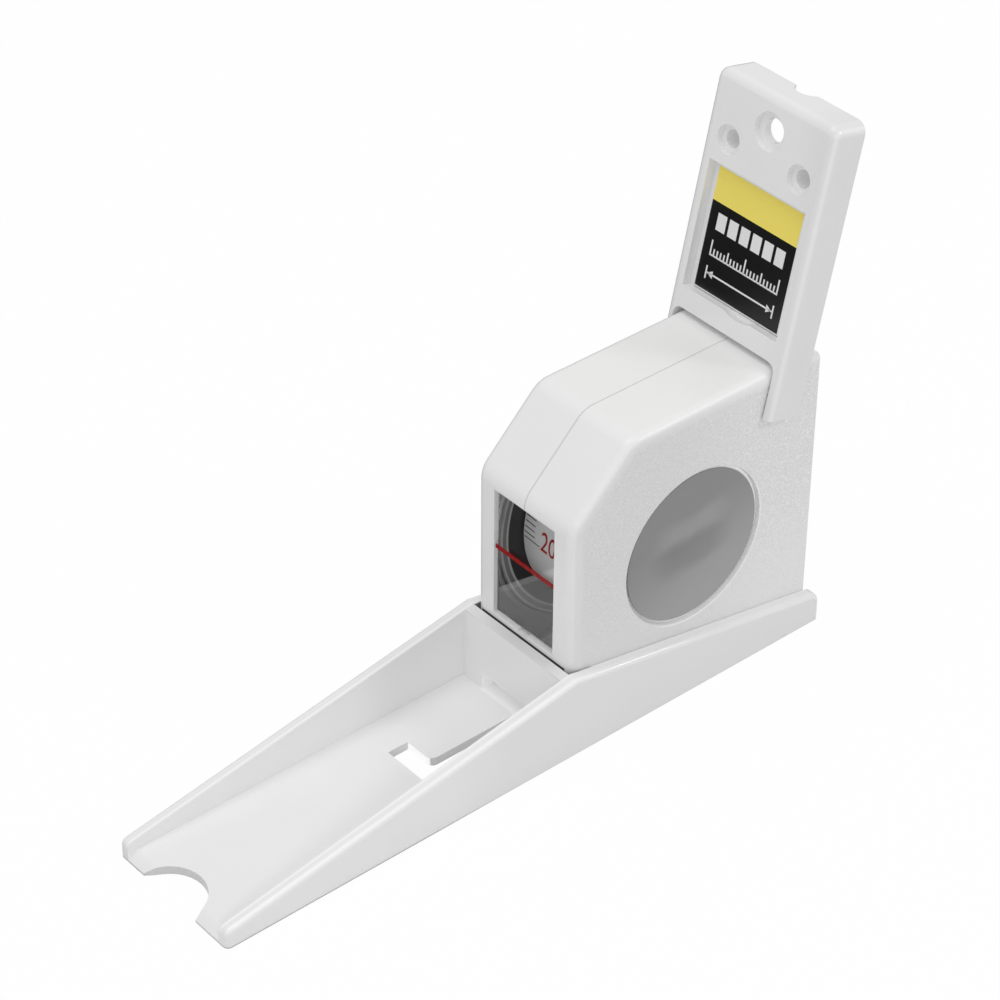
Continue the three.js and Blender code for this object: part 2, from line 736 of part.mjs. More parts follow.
function wallBracket() {
  const beyond = bracketDepth + cutOverrun;
  const face = outline([
    [-bracketHalf, -legLength - cutOverrun],
    [bracketHalf, -legLength - cutOverrun],
    [bracketHalf, bracketHeight, bracketCornerRound],
    [-bracketHalf, bracketHeight, bracketCornerRound],
  ]);
  const arch = outline([
    [-bracketInside, -legLength - cutOverrun],
    [bracketInside, -legLength - cutOverrun],
    [bracketInside, barBottom, archCornerRound],
    [-bracketInside, barBottom, archCornerRound],
  ]);
  const recessTop = recessBottom + recessHeight;
  const floorBack = recessDepth + recessFloorWall;
  const smallHole = {
    z: smallHoleHeight,
    radius: smallHoleRadius,
    seatRadius: smallSeatRadius,
    bossRadius: smallHoleRadius + smallBossWall,
    bossBack: bracketDepth,
  };
  const holes = [
    { ...smallHole, x: smallHoleInset - bracketHalf },
    { ...smallHole, x: bracketHalf - smallHoleInset },
    {
      x: 0,
      z: largeHoleHeight,
      radius: largeHoleRadius,
      seatRadius: largeSeatRadius,
      bossRadius: largeHoleRadius + largeBossWall,
      bossBack: bracketPlate + largeBossRise,
    },
  ];
  let bracket = barY(face, 0, beyond + bracketEdgeRound, bracketEdgeRound);
  bracket = bracket.subtract(box(
    -bracketHalf - cutOverrun,
    bracketHalf + cutOverrun,
    -cutOverrun,
    beyond + bracketEdgeRound + cutOverrun,
    -legLength - 2 * cutOverrun,
    -legLength,
  ));
  bracket = bracket.subtract(box(
    -bracketInside,
    bracketInside,
    bracketPlate,
    beyond + cutOverrun,
    -legLength - cutOverrun,
    bracketHeight - bracketTopWall,
  ));
  bracket = bracket.subtract(barY(arch, -cutOverrun, beyond + cutOverrun));
  bracket = bracket.add(box(
    -bracketInside - legWall / 2,
    bracketInside + legWall / 2,
    bracketPlate / 2,
    floorBack,
    pinAboveRoots + recessFootAbovePin,
    recessTop + recessFloorWall,
  ));
  bracket = bracket.subtract(box(
    -recessHalf,
    recessHalf,
    -cutOverrun,
    recessDepth,
    recessBottom,
    recessTop,
  ));
  const scoopRadius = (scoopWidth ** 2 / 4 + scoopDrop ** 2) / (2 * scoopDrop);
  const scoop = circle(scoopShift, recessBottom - scoopDrop + scoopRadius, scoopRadius, reelSteps);
  bracket = bracket.subtract(barY(scoop, -cutOverrun, scoopDepth));
  for (const { x, z, bossRadius, bossBack } of holes) {
    bracket = bracket.add(barY(circle(x, z, bossRadius), bracketPlate / 2, bossBack));
  }
  for (const { x, z, radius, seatRadius } of holes) {
    bracket = bracket.subtract(barY(circle(x, z, seatRadius), -cutOverrun, holeSeatDepth));
    bracket = bracket.subtract(barY(circle(x, z, radius), -cutOverrun, beyond + cutOverrun));
  }
  const notch = circle(0, bracketDepth - hangNotchDepth + hangNotchRadius, hangNotchRadius);
  const notchFloor = bracketHeight - bracketTopWall - cutOverrun / 2;
  bracket = bracket.subtract(barZ(notch, notchFloor, bracketHeight + cutOverrun));
  const socketEnd = bracketInside + pinSocketDepth;
  const socket = circle(pinBehindFace, pinAboveRoots, pinRadius + seatGap);
  bracket = bracket.subtract(barX(socket, -socketEnd, socketEnd));
  return bracket.subtract(box(
    -bracketHalf - cutOverrun,
    bracketHalf + cutOverrun,
    bracketDepth,
    beyond + cutOverrun,
    -legLength - cutOverrun,
    bracketHeight + cutOverrun,
  ));
}
addPiece("wall_bracket", wallBracket(), whitePlastic(), upright);

const pinHalf = bracketInside + pinSocketDepth - seatGap;
const pinShape = circle(pinBehindFace, pinAboveRoots, pinRadius);
addPiece("tilt_pin", barX(pinShape, -pinHalf, pinHalf), steel(), upright);

const labelHalf = recessHalf - labelSideMargin;
const labelFoot = recessBottom + labelFootMargin;
const labelTop = recessBottom + recessHeight - labelTopMargin;
addPiece("label_plate", barY(
  rectangle(-labelHalf, labelFoot, labelHalf, labelTop, labelFootMargin),
  recessDepth - seatGap - labelThickness,
  recessDepth - seatGap,
), labelInk(), upright);

export default group;
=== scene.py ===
# %% [markdown]
# A wall-hung stadiometer: a long white head plate, a tape case that stands in it, and a wall
# bracket that rests on the case while the tape is wound in. The frame that this script loads
# holds the real sizes and the joints. The script adds what the eye sees: softened edges, moulded
# grain, printed scales, the label, the light and the camera.

import json
import math

import bmesh
import bpy
from mathutils import Matrix, Vector


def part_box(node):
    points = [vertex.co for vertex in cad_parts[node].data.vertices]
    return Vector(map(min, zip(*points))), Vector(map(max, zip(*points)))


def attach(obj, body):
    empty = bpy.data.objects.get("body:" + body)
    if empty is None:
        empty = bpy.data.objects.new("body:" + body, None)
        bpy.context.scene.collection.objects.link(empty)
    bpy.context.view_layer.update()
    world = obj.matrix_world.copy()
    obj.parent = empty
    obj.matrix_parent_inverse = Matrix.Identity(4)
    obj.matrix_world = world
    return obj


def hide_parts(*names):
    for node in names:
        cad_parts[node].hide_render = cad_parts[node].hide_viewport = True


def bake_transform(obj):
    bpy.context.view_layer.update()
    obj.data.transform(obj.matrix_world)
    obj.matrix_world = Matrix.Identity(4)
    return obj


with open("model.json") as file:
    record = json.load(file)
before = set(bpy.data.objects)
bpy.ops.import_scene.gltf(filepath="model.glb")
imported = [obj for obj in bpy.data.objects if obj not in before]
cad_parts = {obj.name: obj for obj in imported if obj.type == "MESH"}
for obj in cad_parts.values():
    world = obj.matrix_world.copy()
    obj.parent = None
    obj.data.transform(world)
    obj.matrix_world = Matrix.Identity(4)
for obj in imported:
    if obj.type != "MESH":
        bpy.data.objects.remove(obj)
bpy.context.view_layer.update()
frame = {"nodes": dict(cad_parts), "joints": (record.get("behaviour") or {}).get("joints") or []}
nodes = frame["nodes"]
joints = {joint["name"]: joint for joint in frame["joints"]}
mm = 0.001

# %% [markdown]
# Three helpers are used for every form: one puts an object into the scene, one turns an edited
# form into a mesh, and one adds a box between two places on each axis.

# %% Form helpers
def add_object(name, data):
    made = bpy.data.objects.new(name, data)
    bpy.context.scene.collection.objects.link(made)
    return made

def mesh_from(form, name):
    mesh = bpy.data.meshes.new(name)
    form.to_mesh(mesh)
    form.free()
    return mesh

def slab(form, x0, x1, y0, y1, z0, z1):
    made = bmesh.ops.create_cube(form, size=1.0)["verts"]
    bmesh.ops.scale(form, verts=made, vec=(x1 - x0, y1 - y0, z1 - z0))
    middle = ((x0 + x1) / 2, (y0 + y1) / 2, (z0 + z1) / 2)
    bmesh.ops.translate(form, verts=made, vec=middle)
    return made

print("form helpers ready")

# %% [markdown]
# The camera stands in front of the tip, to the right and above. Its angles, distance and focal
# length were found by laying the outlines of the part over the photograph. The camera's axes are
# built from those angles, and a small roll turns them about the line of sight.

# %% Camera
view_azimuth = math.radians(49.43)
view_elevation = math.radians(36.83)
view_roll = math.radians(0.43)
view_distance = 762.65 * mm
view_aim = Vector((-8.79, -36.5, 55.37)) * mm
sensor_width = 36
focal_length = 123.41
nearest_seen = 10 * mm

def add_camera():
    flat = math.cos(view_elevation)
    back = Vector((
        math.sin(view_azimuth) * flat,
        -math.cos(view_azimuth) * flat,
        math.sin(view_elevation),
    ))
    right = Vector((math.cos(view_azimuth), math.sin(view_azimuth), 0))
    right.rotate(Matrix.Rotation(view_roll, 3, back))
    up = back.cross(right)
    axes = Matrix((right, up, back)).transposed()
    made = add_object("camera", bpy.data.cameras.new("camera"))
    made.matrix_world = Matrix.Translation(view_aim + back * view_distance) @ axes.to_4x4()
    made.data.sensor_width = sensor_width
    made.data.lens = focal_length
    made.data.clip_start = nearest_seen
    bpy.context.scene.camera = made
    return made

camera = add_camera()
print("camera at", [round(value, 3) for value in camera.location])

# %% [markdown]
# A material is a small graph of nodes. These helpers keep the graphs short: they add a node and
# set it up, start a material with its shader, and build the steps that come back often. Settings
# with a capital are the node's sockets, the others are its options. A step joins the graph that
# its first link comes from. A share is a value between zero and one that says how far a tone or a
# light applies at a point.

# %% Node helpers
def grey(value):
    return (value, value, value, 1.0)

def add_node(tree, kind, **settings):
    made = tree.nodes.new(kind)
    for key, value in settings.items():
        if key[0].isupper():
            made.inputs[key.replace("_", " ")].default_value = value
        else:
            setattr(made, key, value)
    return made

def start_material(name, **settings):
    material = bpy.data.materials.new(name)
    material.use_nodes = True
    shader = material.node_tree.nodes["Principled BSDF"]
    for key, value in settings.items():
        shader.inputs[key.replace("_", " ")].default_value = value
    return material, material.node_tree, shader

def object_place(tree):
    return add_node(tree, "ShaderNodeTexCoord").outputs["Object"]

def feed(sockets, values):
    """Gives each socket its number, its colour or the link that drives it."""
    for socket, value in zip(sockets, values):
        if isinstance(value, (int, float, tuple)):
            socket.default_value = value
        else:
            socket.id_data.links.new(value, socket)

def split(vector):
    """The outputs X, Y and Z of a vector."""
    apart = add_node(vector.id_data, "ShaderNodeSeparateXYZ")
    feed(apart.inputs, (vector,))
    return apart.outputs

def mapped(place, **settings):
    made = add_node(place.id_data, "ShaderNodeMapping", **settings)
    feed(made.inputs, (place,))
    return made.outputs[0]

def noise(place, scale, detail, output="Fac", **settings):
    made = add_node(place.id_data, "ShaderNodeTexNoise", Scale=scale, Detail=detail, **settings)
    feed(made.inputs, (place,))
    return made.outputs[output]

def add_bump(tree, shader, relief, strength, distance):
    bump = add_node(tree, "ShaderNodeBump", Strength=strength, Distance=distance)
    tree.links.new(relief, bump.inputs["Height"])
    tree.links.new(bump.outputs[0], shader.inputs["Normal"])

def mix_shaders(tree, share, first, second, out):
    chosen = add_node(tree, "ShaderNodeMixShader")
    feed(chosen.inputs, (share, first.outputs[0], second.outputs[0]))
    tree.links.new(chosen.outputs[0], out.inputs["Surface"])

def mix_colours(share, first, second):
    made = add_node(share.id_data, "ShaderNodeMix", data_type="RGBA")
    feed((made.inputs[0], made.inputs[6], made.inputs[7]), (share, first, second))
    return made.outputs[2]

def math_step(operation, *values):
    """A node for one sum. At least one value is a link, and the node joins that link's tree."""
    linked = next(value for value in values if not isinstance(value, (int, float)))
    made = add_node(linked.id_data, "ShaderNodeMath", operation=operation)
    feed(made.inputs, values)
    return made.outputs[0]

def remap(value, low, high, to_low=0.0, to_high=1.0):
    made = add_node(
        value.id_data, "ShaderNodeMapRange", interpolation_type="SMOOTHSTEP",
        From_Min=low, From_Max=high, To_Min=to_low, To_Max=to_high,
    )
    feed(made.inputs, (value,))
    return made.outputs["Result"]

def below(value, limit, fade):
    """One up to the limit, then a soft step down to zero."""
    return remap(value, limit, limit + fade, 1.0, 0.0)

def above(value, limit, fade):
    """One from the limit on, after a soft step up from zero."""
    return remap(value, limit - fade, limit)

def all_of(*shares):
    """The product of several shares."""
    product = shares[0]
    for share in shares[1:]:
        product = math_step("MULTIPLY", product, share)
    return product

def between(value, low, high, fade):
    """One between two places and zero beyond them, with a soft step at each."""
    return all_of(above(value, low, fade), below(value, high, fade))

def rest_of(share):
    return math_step("SUBTRACT", 1.0, share)

print("node helpers ready")

# %% [markdown]
# The stage is a white studio: a pale floor, even light from all round and soft lamps. What the
# camera sees of the surroundings is plain white, while the light that falls on the object comes
# from a slightly darker sky, so white plastic keeps its shades. In the window's mirror image the
# floor is pale near the object and falls off into the dark on its left.

# %% Floor, sky and lamps
sky_light = 0.62
backdrop_white = 1.0
floor_half = 3.0
floor_paint_white = 0.82
floor_glow_share = 0.975
mirror_dark_x = -38 * mm
mirror_pale_x = 10 * mm
mirror_dark = 0.03
mirror_pale = 0.80
lamps = (
    # name, place, width and power
    ("lamp_overhead", (-0.05, -0.15, 1.00), 0.7, 2.2),
    ("lamp_right", (0.52, 0.46, 0.50), 0.16, 0.75),
    ("lamp_front", (0.74, -0.86, 0.52), 0.4, 1.0),
)

def seen_rays(path):
    return math_step("MAXIMUM", path.outputs["Is Camera Ray"], path.outputs["Is Transmission Ray"])

def add_sky():
    world = bpy.data.worlds.new("studio")
    bpy.context.scene.world = world
    world.use_nodes = True
    tree = world.node_tree
    tree.nodes.clear()
    path = add_node(tree, "ShaderNodeLightPath")
    lit = add_node(tree, "ShaderNodeBackground", Color=grey(1.0), Strength=sky_light)
    shown = add_node(tree, "ShaderNodeBackground", Color=grey(1.0), Strength=backdrop_white)
    out = add_node(tree, "ShaderNodeOutputWorld")
    mix_shaders(tree, seen_rays(path), lit, shown, out)

def add_floor():
    form = bmesh.new()
    bmesh.ops.create_grid(form, x_segments=1, y_segments=1, size=floor_half)
    floor = add_object("floor", mesh_from(form, "floor"))
    material, tree, shader = start_material(
        "floor_paint", Base_Color=grey(floor_paint_white), Roughness=0.9,
    )
    path = add_node(tree, "ShaderNodeLightPath")
    in_mirror = path.outputs["Is Glossy Ray"]
    across = split(object_place(tree))["X"]
    mirrored = remap(across, mirror_dark_x, mirror_pale_x, mirror_dark, mirror_pale)
    glow = add_node(tree, "ShaderNodeEmission", Strength=1.0)
    tone = mix_colours(in_mirror, grey(backdrop_white), mirrored)
    tree.links.new(tone, glow.inputs["Color"])
    seen = math_step("MAXIMUM", seen_rays(path), in_mirror)
    share = all_of(seen, floor_glow_share)
    mix_shaders(tree, share, shader, glow, tree.nodes["Material Output"])
    floor.data.materials.append(material)

def add_lamp(name, place, width, power):
    lamp = add_object(name, bpy.data.lights.new(name, "AREA"))
    lamp.data.shape = "DISK"
    lamp.data.size = width
    lamp.data.energy = power
    lamp.location = place
    lamp.rotation_euler = (view_aim - Vector(place)).to_track_quat("-Z", "Y").to_euler()

add_sky()
add_floor()
for lamp_row in lamps:
    add_lamp(*lamp_row)
bpy.context.scene.view_settings.view_transform = "Standard"
print("stage: sky", sky_light, "floor half width", floor_half, "lamps", len(lamps))

# %% [markdown]
# White plastic mouldings. The head plate and the bracket come from polished tools, so their skin
# has only a faint waviness. Where a moulding is shaded by its neighbour, in its corners and cut
# edges, or lit on its rims and through a thin edge, a soft mask made from the place on the part
# lays a painted shade or a painted highlight over the white. White plastic also lets some light
# through, which lifts the tone in hollows, and a faint painted glow there stands for it.

# %% Places and tones of the white plastics
case_low, case_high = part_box("case_shell_right")
case_front = case_low.y
case_side = case_high.x
plate_low, plate_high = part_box("head_plate")
plate_side = plate_high.x
plate_inside = plate_side - 3.0 * mm
bracket_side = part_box("wall_bracket")[1].x
reel_axis = Vector(joints["reel_spin"]["pos_m"])
cross_wall_depth = 3.4 * mm
cross_wall_high = plate_high.z
doorway_half = 9.7 * mm
doorway_top = 6.7 * mm
tray_floor_top = 2.1 * mm
hollow_reach = 20 * mm
joint_reach = 1.2 * mm

# The plastic's own white, then the painted highlights and painted shade laid over it; the glows
# are painted light.
plastic_white = 0.91
rim_highlight_white = 0.96
lit_edge_white = 0.98
flank_shade_white = plastic_white * 0.93
wall_top_shade_white = plastic_white * 0.90
foot_shade_grey = 0.50
cut_edge_shade_grey = 0.72
corner_shade_grey = 0.22
depth_shade_grey = 0.42

doorway_glow = 0.10
lit_edge_glow = 0.30
rim_glow = 0.035
joint_glow = 0.07

class WhiteSkin:
    """One white plastic: where a point lies on it, and the tone and light laid on so far."""

    def __init__(self, name, roughness, white=plastic_white):
        self.material, self.tree, self.shader = start_material(
            name, Roughness=roughness, Specular_IOR_Level=0.45, IOR=1.5,
        )
        self.roughness = roughness
        self.white = white
        self.place = object_place(self.tree)
        apart = split(self.place)
        self.across, self.along, self.height = apart["X"], apart["Y"], apart["Z"]
        self.side = math_step("ABSOLUTE", self.across)
        self.cloud = noise(self.place, scale=38.0, detail=3.0)
        ripple = noise(self.place, scale=700.0, detail=4.0, Roughness=0.6)
        self.relief = math_step("MULTIPLY", ripple, 0.15)
        tone = remap(self.cloud, 0.35, 0.65)
        self.colour = mix_colours(tone, grey(white * 0.985), grey(white))
        self.glow = 0.0

    def lay(self, share, tone):
        """Lays a grey, or another colour, over the skin where the share says."""
        over = grey(tone) if isinstance(tone, float) else tone
        self.colour = mix_colours(share, self.colour, over)

    def light(self, share, strength):
        self.glow = math_step("MULTIPLY_ADD", share, strength, self.glow)

    def close(self, lift=0.0):
        """Lifts the tone in hollows with a painted glow and hands everything to the shader."""
        if lift:
            hollow = add_node(
                self.tree, "ShaderNodeAmbientOcclusion",
                samples=6, only_local=True, Distance=hollow_reach,
            )
            self.light(rest_of(hollow.outputs["AO"]), lift)
        self.shader.inputs["Emission Color"].default_value = grey(1.0)
        self.tree.links.new(self.glow, self.shader.inputs["Emission Strength"])
        self.tree.links.new(self.colour, self.shader.inputs["Base Color"])
        add_bump(self.tree, self.shader, self.relief, strength=0.5, distance=0.12 * mm)
        return self.material

print("case is", round(case_side * 2 / mm, 1), "mm wide")

# %% [markdown]
# The head plate. Painted highlights make its rims pale, painted shade greys its underside and the
# cut edges of its openings, and painted shade makes the tone fall off on the right flank, on the
# cross wall's top and in the corner beside the case. A painted glow stands for the light that the
# low doorway under the cross wall and the narrow joint beside the case let in, while painted shade
# makes the inside of the case dark low down.

# %% White of the head plate
rim_start = 5 * mm
rim_end = -48 * mm
openings_half = 12 * mm
opening_front = -100 * mm
flank_start = -52 * mm
depth_bottom = 2 * mm
depth_top = 24 * mm
depth_back = 33 * mm
joint_top = 23 * mm

def light_doorway(skin):
    """Painted light: a glow in the low passage under the cross wall, with the case's foot behind
    it.
    """
    front = case_front - cross_wall_depth
    share = all_of(
        between(skin.along, front, case_front + 0.2 * mm, 1.2 * mm),
        below(skin.height, doorway_top, 0.1 * mm),
        below(skin.side, doorway_half, 0.5 * mm),
    )
    skin.light(share, doorway_glow)

def rub_rims(skin):
    """Painted highlights: two pale lines on the top of each side wall, along its inner and its
    outer edge.
    """
    side = skin.side
    inner = all_of(
        below(skin.along, case_front - 1 * mm, 2 * mm),
        between(side, plate_inside + 0.45 * mm, plate_inside + 0.6 * mm, 0.35 * mm),
    )
    outer = between(side, plate_side - 0.8 * mm, plate_side - 0.55 * mm, 0.4 * mm)
    rims = all_of(
        math_step("ADD", inner, outer),
        above(skin.height, rim_start, 2 * mm), below(skin.along, rim_end, 25 * mm),
    )
    # Painted highlight, with a little painted glow, along both rims.
    skin.lay(rims, rim_highlight_white)
    skin.light(rims, rim_glow)

def shade_cut_edges(skin):
    """Painted shade on the openings' upright edges, and painted light on the floor opening's rear
    one.
    """
    tree = skin.tree
    facing = split(add_node(tree, "ShaderNodeNewGeometry").outputs["Normal"])
    upright = below(math_step("ABSOLUTE", facing["Z"]), 0.3, 0.3)
    cut = all_of(
        below(skin.side, openings_half, 0.5 * mm),
        below(skin.height, tray_floor_top, 0.1 * mm), upright,
    )
    forward = below(facing["Y"], -0.9, 0.15)
    lit_edge = all_of(cut, forward, above(skin.along, opening_front, 5 * mm))
    skin.lay(cut, cut_edge_shade_grey)
    skin.lay(lit_edge, lit_edge_white)
    skin.light(lit_edge, lit_edge_glow)

def shade_plate(skin):
    """Painted shade on the right flank, the cross wall's top and the corner between plate and
    case.
    """
    flank = all_of(
        above(skin.across, plate_side - 0.02 * mm, 0.1 * mm),
        above(skin.along, flank_start, 30 * mm),
    )
    wall_front = case_front - cross_wall_depth
    wall_top = all_of(
        below(skin.side, plate_inside - 0.1 * mm, 0.1 * mm),
        between(skin.along, wall_front, case_front + 0.1 * mm, 0.1 * mm),
        above(skin.height, cross_wall_high - 0.5 * mm, 0.5 * mm),
    )
    corner = all_of(
        between(skin.side, plate_inside - 2.5 * mm, plate_inside + 0.05 * mm, 0.2 * mm),
        between(skin.along, case_front - 0.5 * mm, case_front + 6 * mm, 0.2 * mm),
        below(skin.height, cross_wall_high - 0.5 * mm, 0.3 * mm),
    )
    skin.lay(flank, flank_shade_white)
    skin.lay(wall_top, wall_top_shade_white)
    skin.lay(corner, corner_shade_grey)

def shade_depths(skin):
    """Painted shade low down inside the case, painted light in the narrow joint between case and
    plate.
    """
    tree = skin.tree
    depths = all_of(
        below(skin.side, case_side - 2.2 * mm, 0.3 * mm),
        between(skin.height, depth_bottom, depth_top, 1 * mm),
        between(skin.along, case_front + 1.2 * mm, depth_back, 0.3 * mm),
    )
    skin.lay(depths, depth_shade_grey)
    near_joint = all_of(
        between(skin.side, case_side - 0.05 * mm, plate_inside + 0.9 * mm, 0.05 * mm),
        above(skin.along, case_front + 3.5 * mm, 1 * mm),
        below(skin.height, joint_top, 1 * mm),
    )
    crevice = add_node(tree, "ShaderNodeAmbientOcclusion", samples=4, Distance=joint_reach)
    skin.light(all_of(near_joint, rest_of(crevice.outputs["AO"])), joint_glow)

def plate_finish():
    skin = WhiteSkin("plate_white", 0.15)
    light_doorway(skin)
    rub_rims(skin)
    # Painted shade along the foot, where the plate stands on the floor.
    skin.lay(below(skin.height, 0.2 * mm, 0.25 * mm), foot_shade_grey)
    shade_cut_edges(skin)
    shade_plate(skin)
    shade_depths(skin)
    return skin.close(lift=0.055)

plate_white = plate_finish()
print("plate white:", len(plate_white.node_tree.nodes), "nodes")

# %% [markdown]
# The bracket. Painted shade makes its front fall off a little to the right and its sides darker
# and faintly streaked, and a painted highlight makes the rounded edge between them pale.

# %% White of the bracket
bracket_base_white = 0.875
flank_shade_share = 0.92
shade_fall_start = 6 * mm

def bracket_finish():
    skin = WhiteSkin("bracket_white", 0.2, bracket_base_white)
    side, white = skin.side, skin.white
    edge = bracket_side - 0.5 * mm
    streak = noise(skin.place, scale=130.0, detail=2.0)
    flank = white * flank_shade_share
    streaked = mix_colours(streak, grey(flank * 0.97), grey(flank * 1.03))
    # Painted shade: the front falls off towards the right.
    skin.lay(above(skin.across, edge, edge - shade_fall_start), white * 0.945)
    # Painted shade on the sides, faintly streaked.
    skin.lay(above(side, edge + 0.4 * mm, 0.4 * mm), streaked)
    # Painted highlight on the rounded edge between front and side.
    rounded = between(side, edge - 0.15 * mm, edge + 0.05 * mm, 0.45 * mm)
    skin.lay(rounded, white * 1.035)
    return skin.close(lift=0.03)

bracket_white = bracket_finish()
print("bracket white:", len(bracket_white.node_tree.nodes), "nodes")

# %% [markdown]
# The case has a fine leather-like grain on its two sides, which starts a little inside the
# front, the slope and the roof, runs out to the rear edge and is rubbed flatter low down. The
# grain is cells of irregular size pushed about by noise, under a mask made from the distances to
# those three edges. The sides are a little darker low down, and painted shade darkens them towards
# the front. Painted shade stands for the gap behind the cross wall and the inner wall low in the
# window, painted light and a painted highlight for the ledge and lip of the disc's recess, and a
# grey for the seam.

# %% White of the case
slope_back = 17.0 * mm
slope_drop = 16.8 * mm
grain_inset = 2.0 * mm
grain_fade = 2.2 * mm
grain_scale = 1750.0
grain_relief = 1.7
rubbed_low = 12 * mm
rubbed_high = 45 * mm
left_wall_top = 36 * mm
seam_shown_from = 58 * mm
ledge_radii = (19.3 * mm, 20.3 * mm)
lip_radii = (20.62 * mm, 20.95 * mm)
# Painted shade behind the cross wall and on the left inner wall, a painted highlight on the lip,
# the seam's grey, and painted light on the ledge.
behind_wall_shade_grey = 0.10
left_wall_shade_grey = 0.40
seam_grey = 0.62
lip_highlight_white = 0.93
ledge_glow = 0.25

def reel_radius(place):
    """Distance from the reel's axis, which runs along X."""
    centred = mapped(place, Location=(0.0, -reel_axis.y, -reel_axis.z), Scale=(0.0, 1.0, 1.0))
    length = add_node(place.id_data, "ShaderNodeVectorMath", operation="LENGTH")
    feed(length.inputs, (centred,))
    return length.outputs["Value"]

def least_edge_distance(skin):
    """How far a point of the case's side lies inside the front, the slope and the roof."""
    tree = skin.tree
    front = math_step("SUBTRACT", skin.along, case_front)
    roof = math_step("SUBTRACT", case_high.z, skin.height)
    length = math.hypot(slope_back, slope_drop)
    inward = Vector((0, slope_drop / length, -slope_back / length))
    corner = Vector((0, case_front, case_high.z - slope_drop))
    along = add_node(tree, "ShaderNodeVectorMath", operation="DOT_PRODUCT")
    along.inputs[1].default_value = inward
    tree.links.new(skin.place, along.inputs[0])
    slope = math_step("SUBTRACT", along.outputs["Value"], inward.dot(corner))
    return math_step("MINIMUM", math_step("MINIMUM", front, roof), slope)

def leather_cells(tree, place, scale):
    drift = noise(place, scale=scale * 0.7, detail=2.0, output="Color")
    push = add_node(tree, "ShaderNodeVectorMath", operation="SCALE", Scale=1.1 / scale)
    moved = add_node(tree, "ShaderNodeVectorMath", operation="ADD")
    tree.links.new(drift, push.inputs[0])
    feed(moved.inputs, (place, push.outputs[0]))
    cells = add_node(
        tree, "ShaderNodeTexVoronoi", feature="SMOOTH_F1", Scale=scale, Smoothness=0.5,
    )
    tree.links.new(moved.outputs[0], cells.inputs["Vector"])
    return remap(cells.outputs["Distance"], 0.15, 0.75, 1.0, 0.0)

def grain_sides(skin):
    """Raises the grain, darkens its valleys, darkens the sides a little low down, lays painted
    shade on them towards the front and dulls the grained skin.
    """
    tree, white = skin.tree, skin.white
    wander = math_step("MULTIPLY_ADD", skin.cloud, 1.2 * mm, -0.6 * mm)
    inside = math_step("ADD", least_edge_distance(skin), wander)
    unworn = remap(skin.height, rubbed_low, rubbed_high, 0.3, 1.0)
    mask = all_of(remap(inside, grain_inset, grain_inset + grain_fade), unworn)
    pebble = leather_cells(tree, skin.place, grain_scale)
    skin.relief = math_step("ADD", skin.relief, all_of(pebble, mask, grain_relief))
    # A little darker low down.
    skin.lay(rest_of(unworn), white * 0.955)
    # Painted shade on the outer side, deepening towards the front.
    outer = above(skin.side, case_side, 0.6 * mm)
    to_front = below(skin.along, -10 * mm, 38 * mm)
    skin.lay(all_of(outer, to_front, 0.66), white * 0.83)
    skin.lay(all_of(rest_of(pebble), mask, 0.6), white * 0.80)
    dull = remap(mask, 0.0, 1.0, skin.roughness, skin.roughness + 0.04)
    tree.links.new(dull, skin.shader.inputs["Roughness"])

def shade_case(skin):
    """Painted shade behind the cross wall and on the left inner wall, painted light on the
    recess's ledge and a painted highlight on its lip, and the seam.
    """
    across, along, height = skin.across, skin.along, skin.height
    behind_wall = all_of(
        below(along, case_front + 0.05 * mm, 0.1 * mm),
        between(height, doorway_top + 4 * mm, cross_wall_high - 0.05 * mm, 0.05 * mm),
    )
    left_wall = all_of(
        between(across, 1.6 * mm - case_side, 3.4 * mm - case_side, 0.2 * mm),
        between(along, case_front + 1.5 * mm, 0.0, 0.5 * mm),
        below(height, left_wall_top, 8 * mm),
    )
    radius = reel_radius(skin.place)
    ledge = all_of(
        between(radius, *ledge_radii, 0.08 * mm),
        above(across, case_side - 1.6 * mm, 0.1 * mm), above(along, 0.0, 14 * mm),
    )
    lip = all_of(
        between(radius, *lip_radii, 0.12 * mm),
        above(across, case_side - 0.2 * mm, 0.1 * mm),
        above(
            math_step("SUBTRACT", along, height),
            reel_axis.y - reel_axis.z + 14 * mm, 10 * mm,
        ),
    )
    seam = all_of(
        below(skin.side, 0.07 * mm, 0.07 * mm),
        above(height, seam_shown_from, 1 * mm),
    )
    # Painted light on the ledge, painted shade behind the wall and on the inner wall, a painted
    # highlight on the lip.
    skin.light(ledge, ledge_glow)
    skin.lay(behind_wall, behind_wall_shade_grey)
    skin.lay(left_wall, left_wall_shade_grey)
    skin.lay(lip, lip_highlight_white)
    skin.lay(seam, seam_grey)

def case_finish():
    skin = WhiteSkin("case_white", 0.33)
    light_doorway(skin)
    shade_depths(skin)
    grain_sides(skin)
    shade_case(skin)
    return skin.close()

case_white = case_finish()
print("case white:", len(case_white.node_tree.nodes), "nodes, grain on the sides")

# %% [markdown]
# The other finishes. The side disc is satin grey with a cloudy painted sheen. The reel is black,
# with flanges that are grey near the rim and carry painted highlights on the rim's edge and in two
# pale rings where they run close to the case. Steel shows fine turning marks, the mainspring is
# blued strip, and the tape is satin white, with a painted glow on the front of the coil.

# %% Disc, reel, tape and steel
disc_turn = math.radians(4)
disc_slant = -0.29
disc_sheen_pale, disc_sheen_dark = 0.372, 0.262
outer_highlight_ring = (0.14 * mm, 0.55 * mm)
inner_highlight_ring = (1.75 * mm, 2.15 * mm)
tape_lit_from, tape_lit_to = 38 * mm, 58 * mm

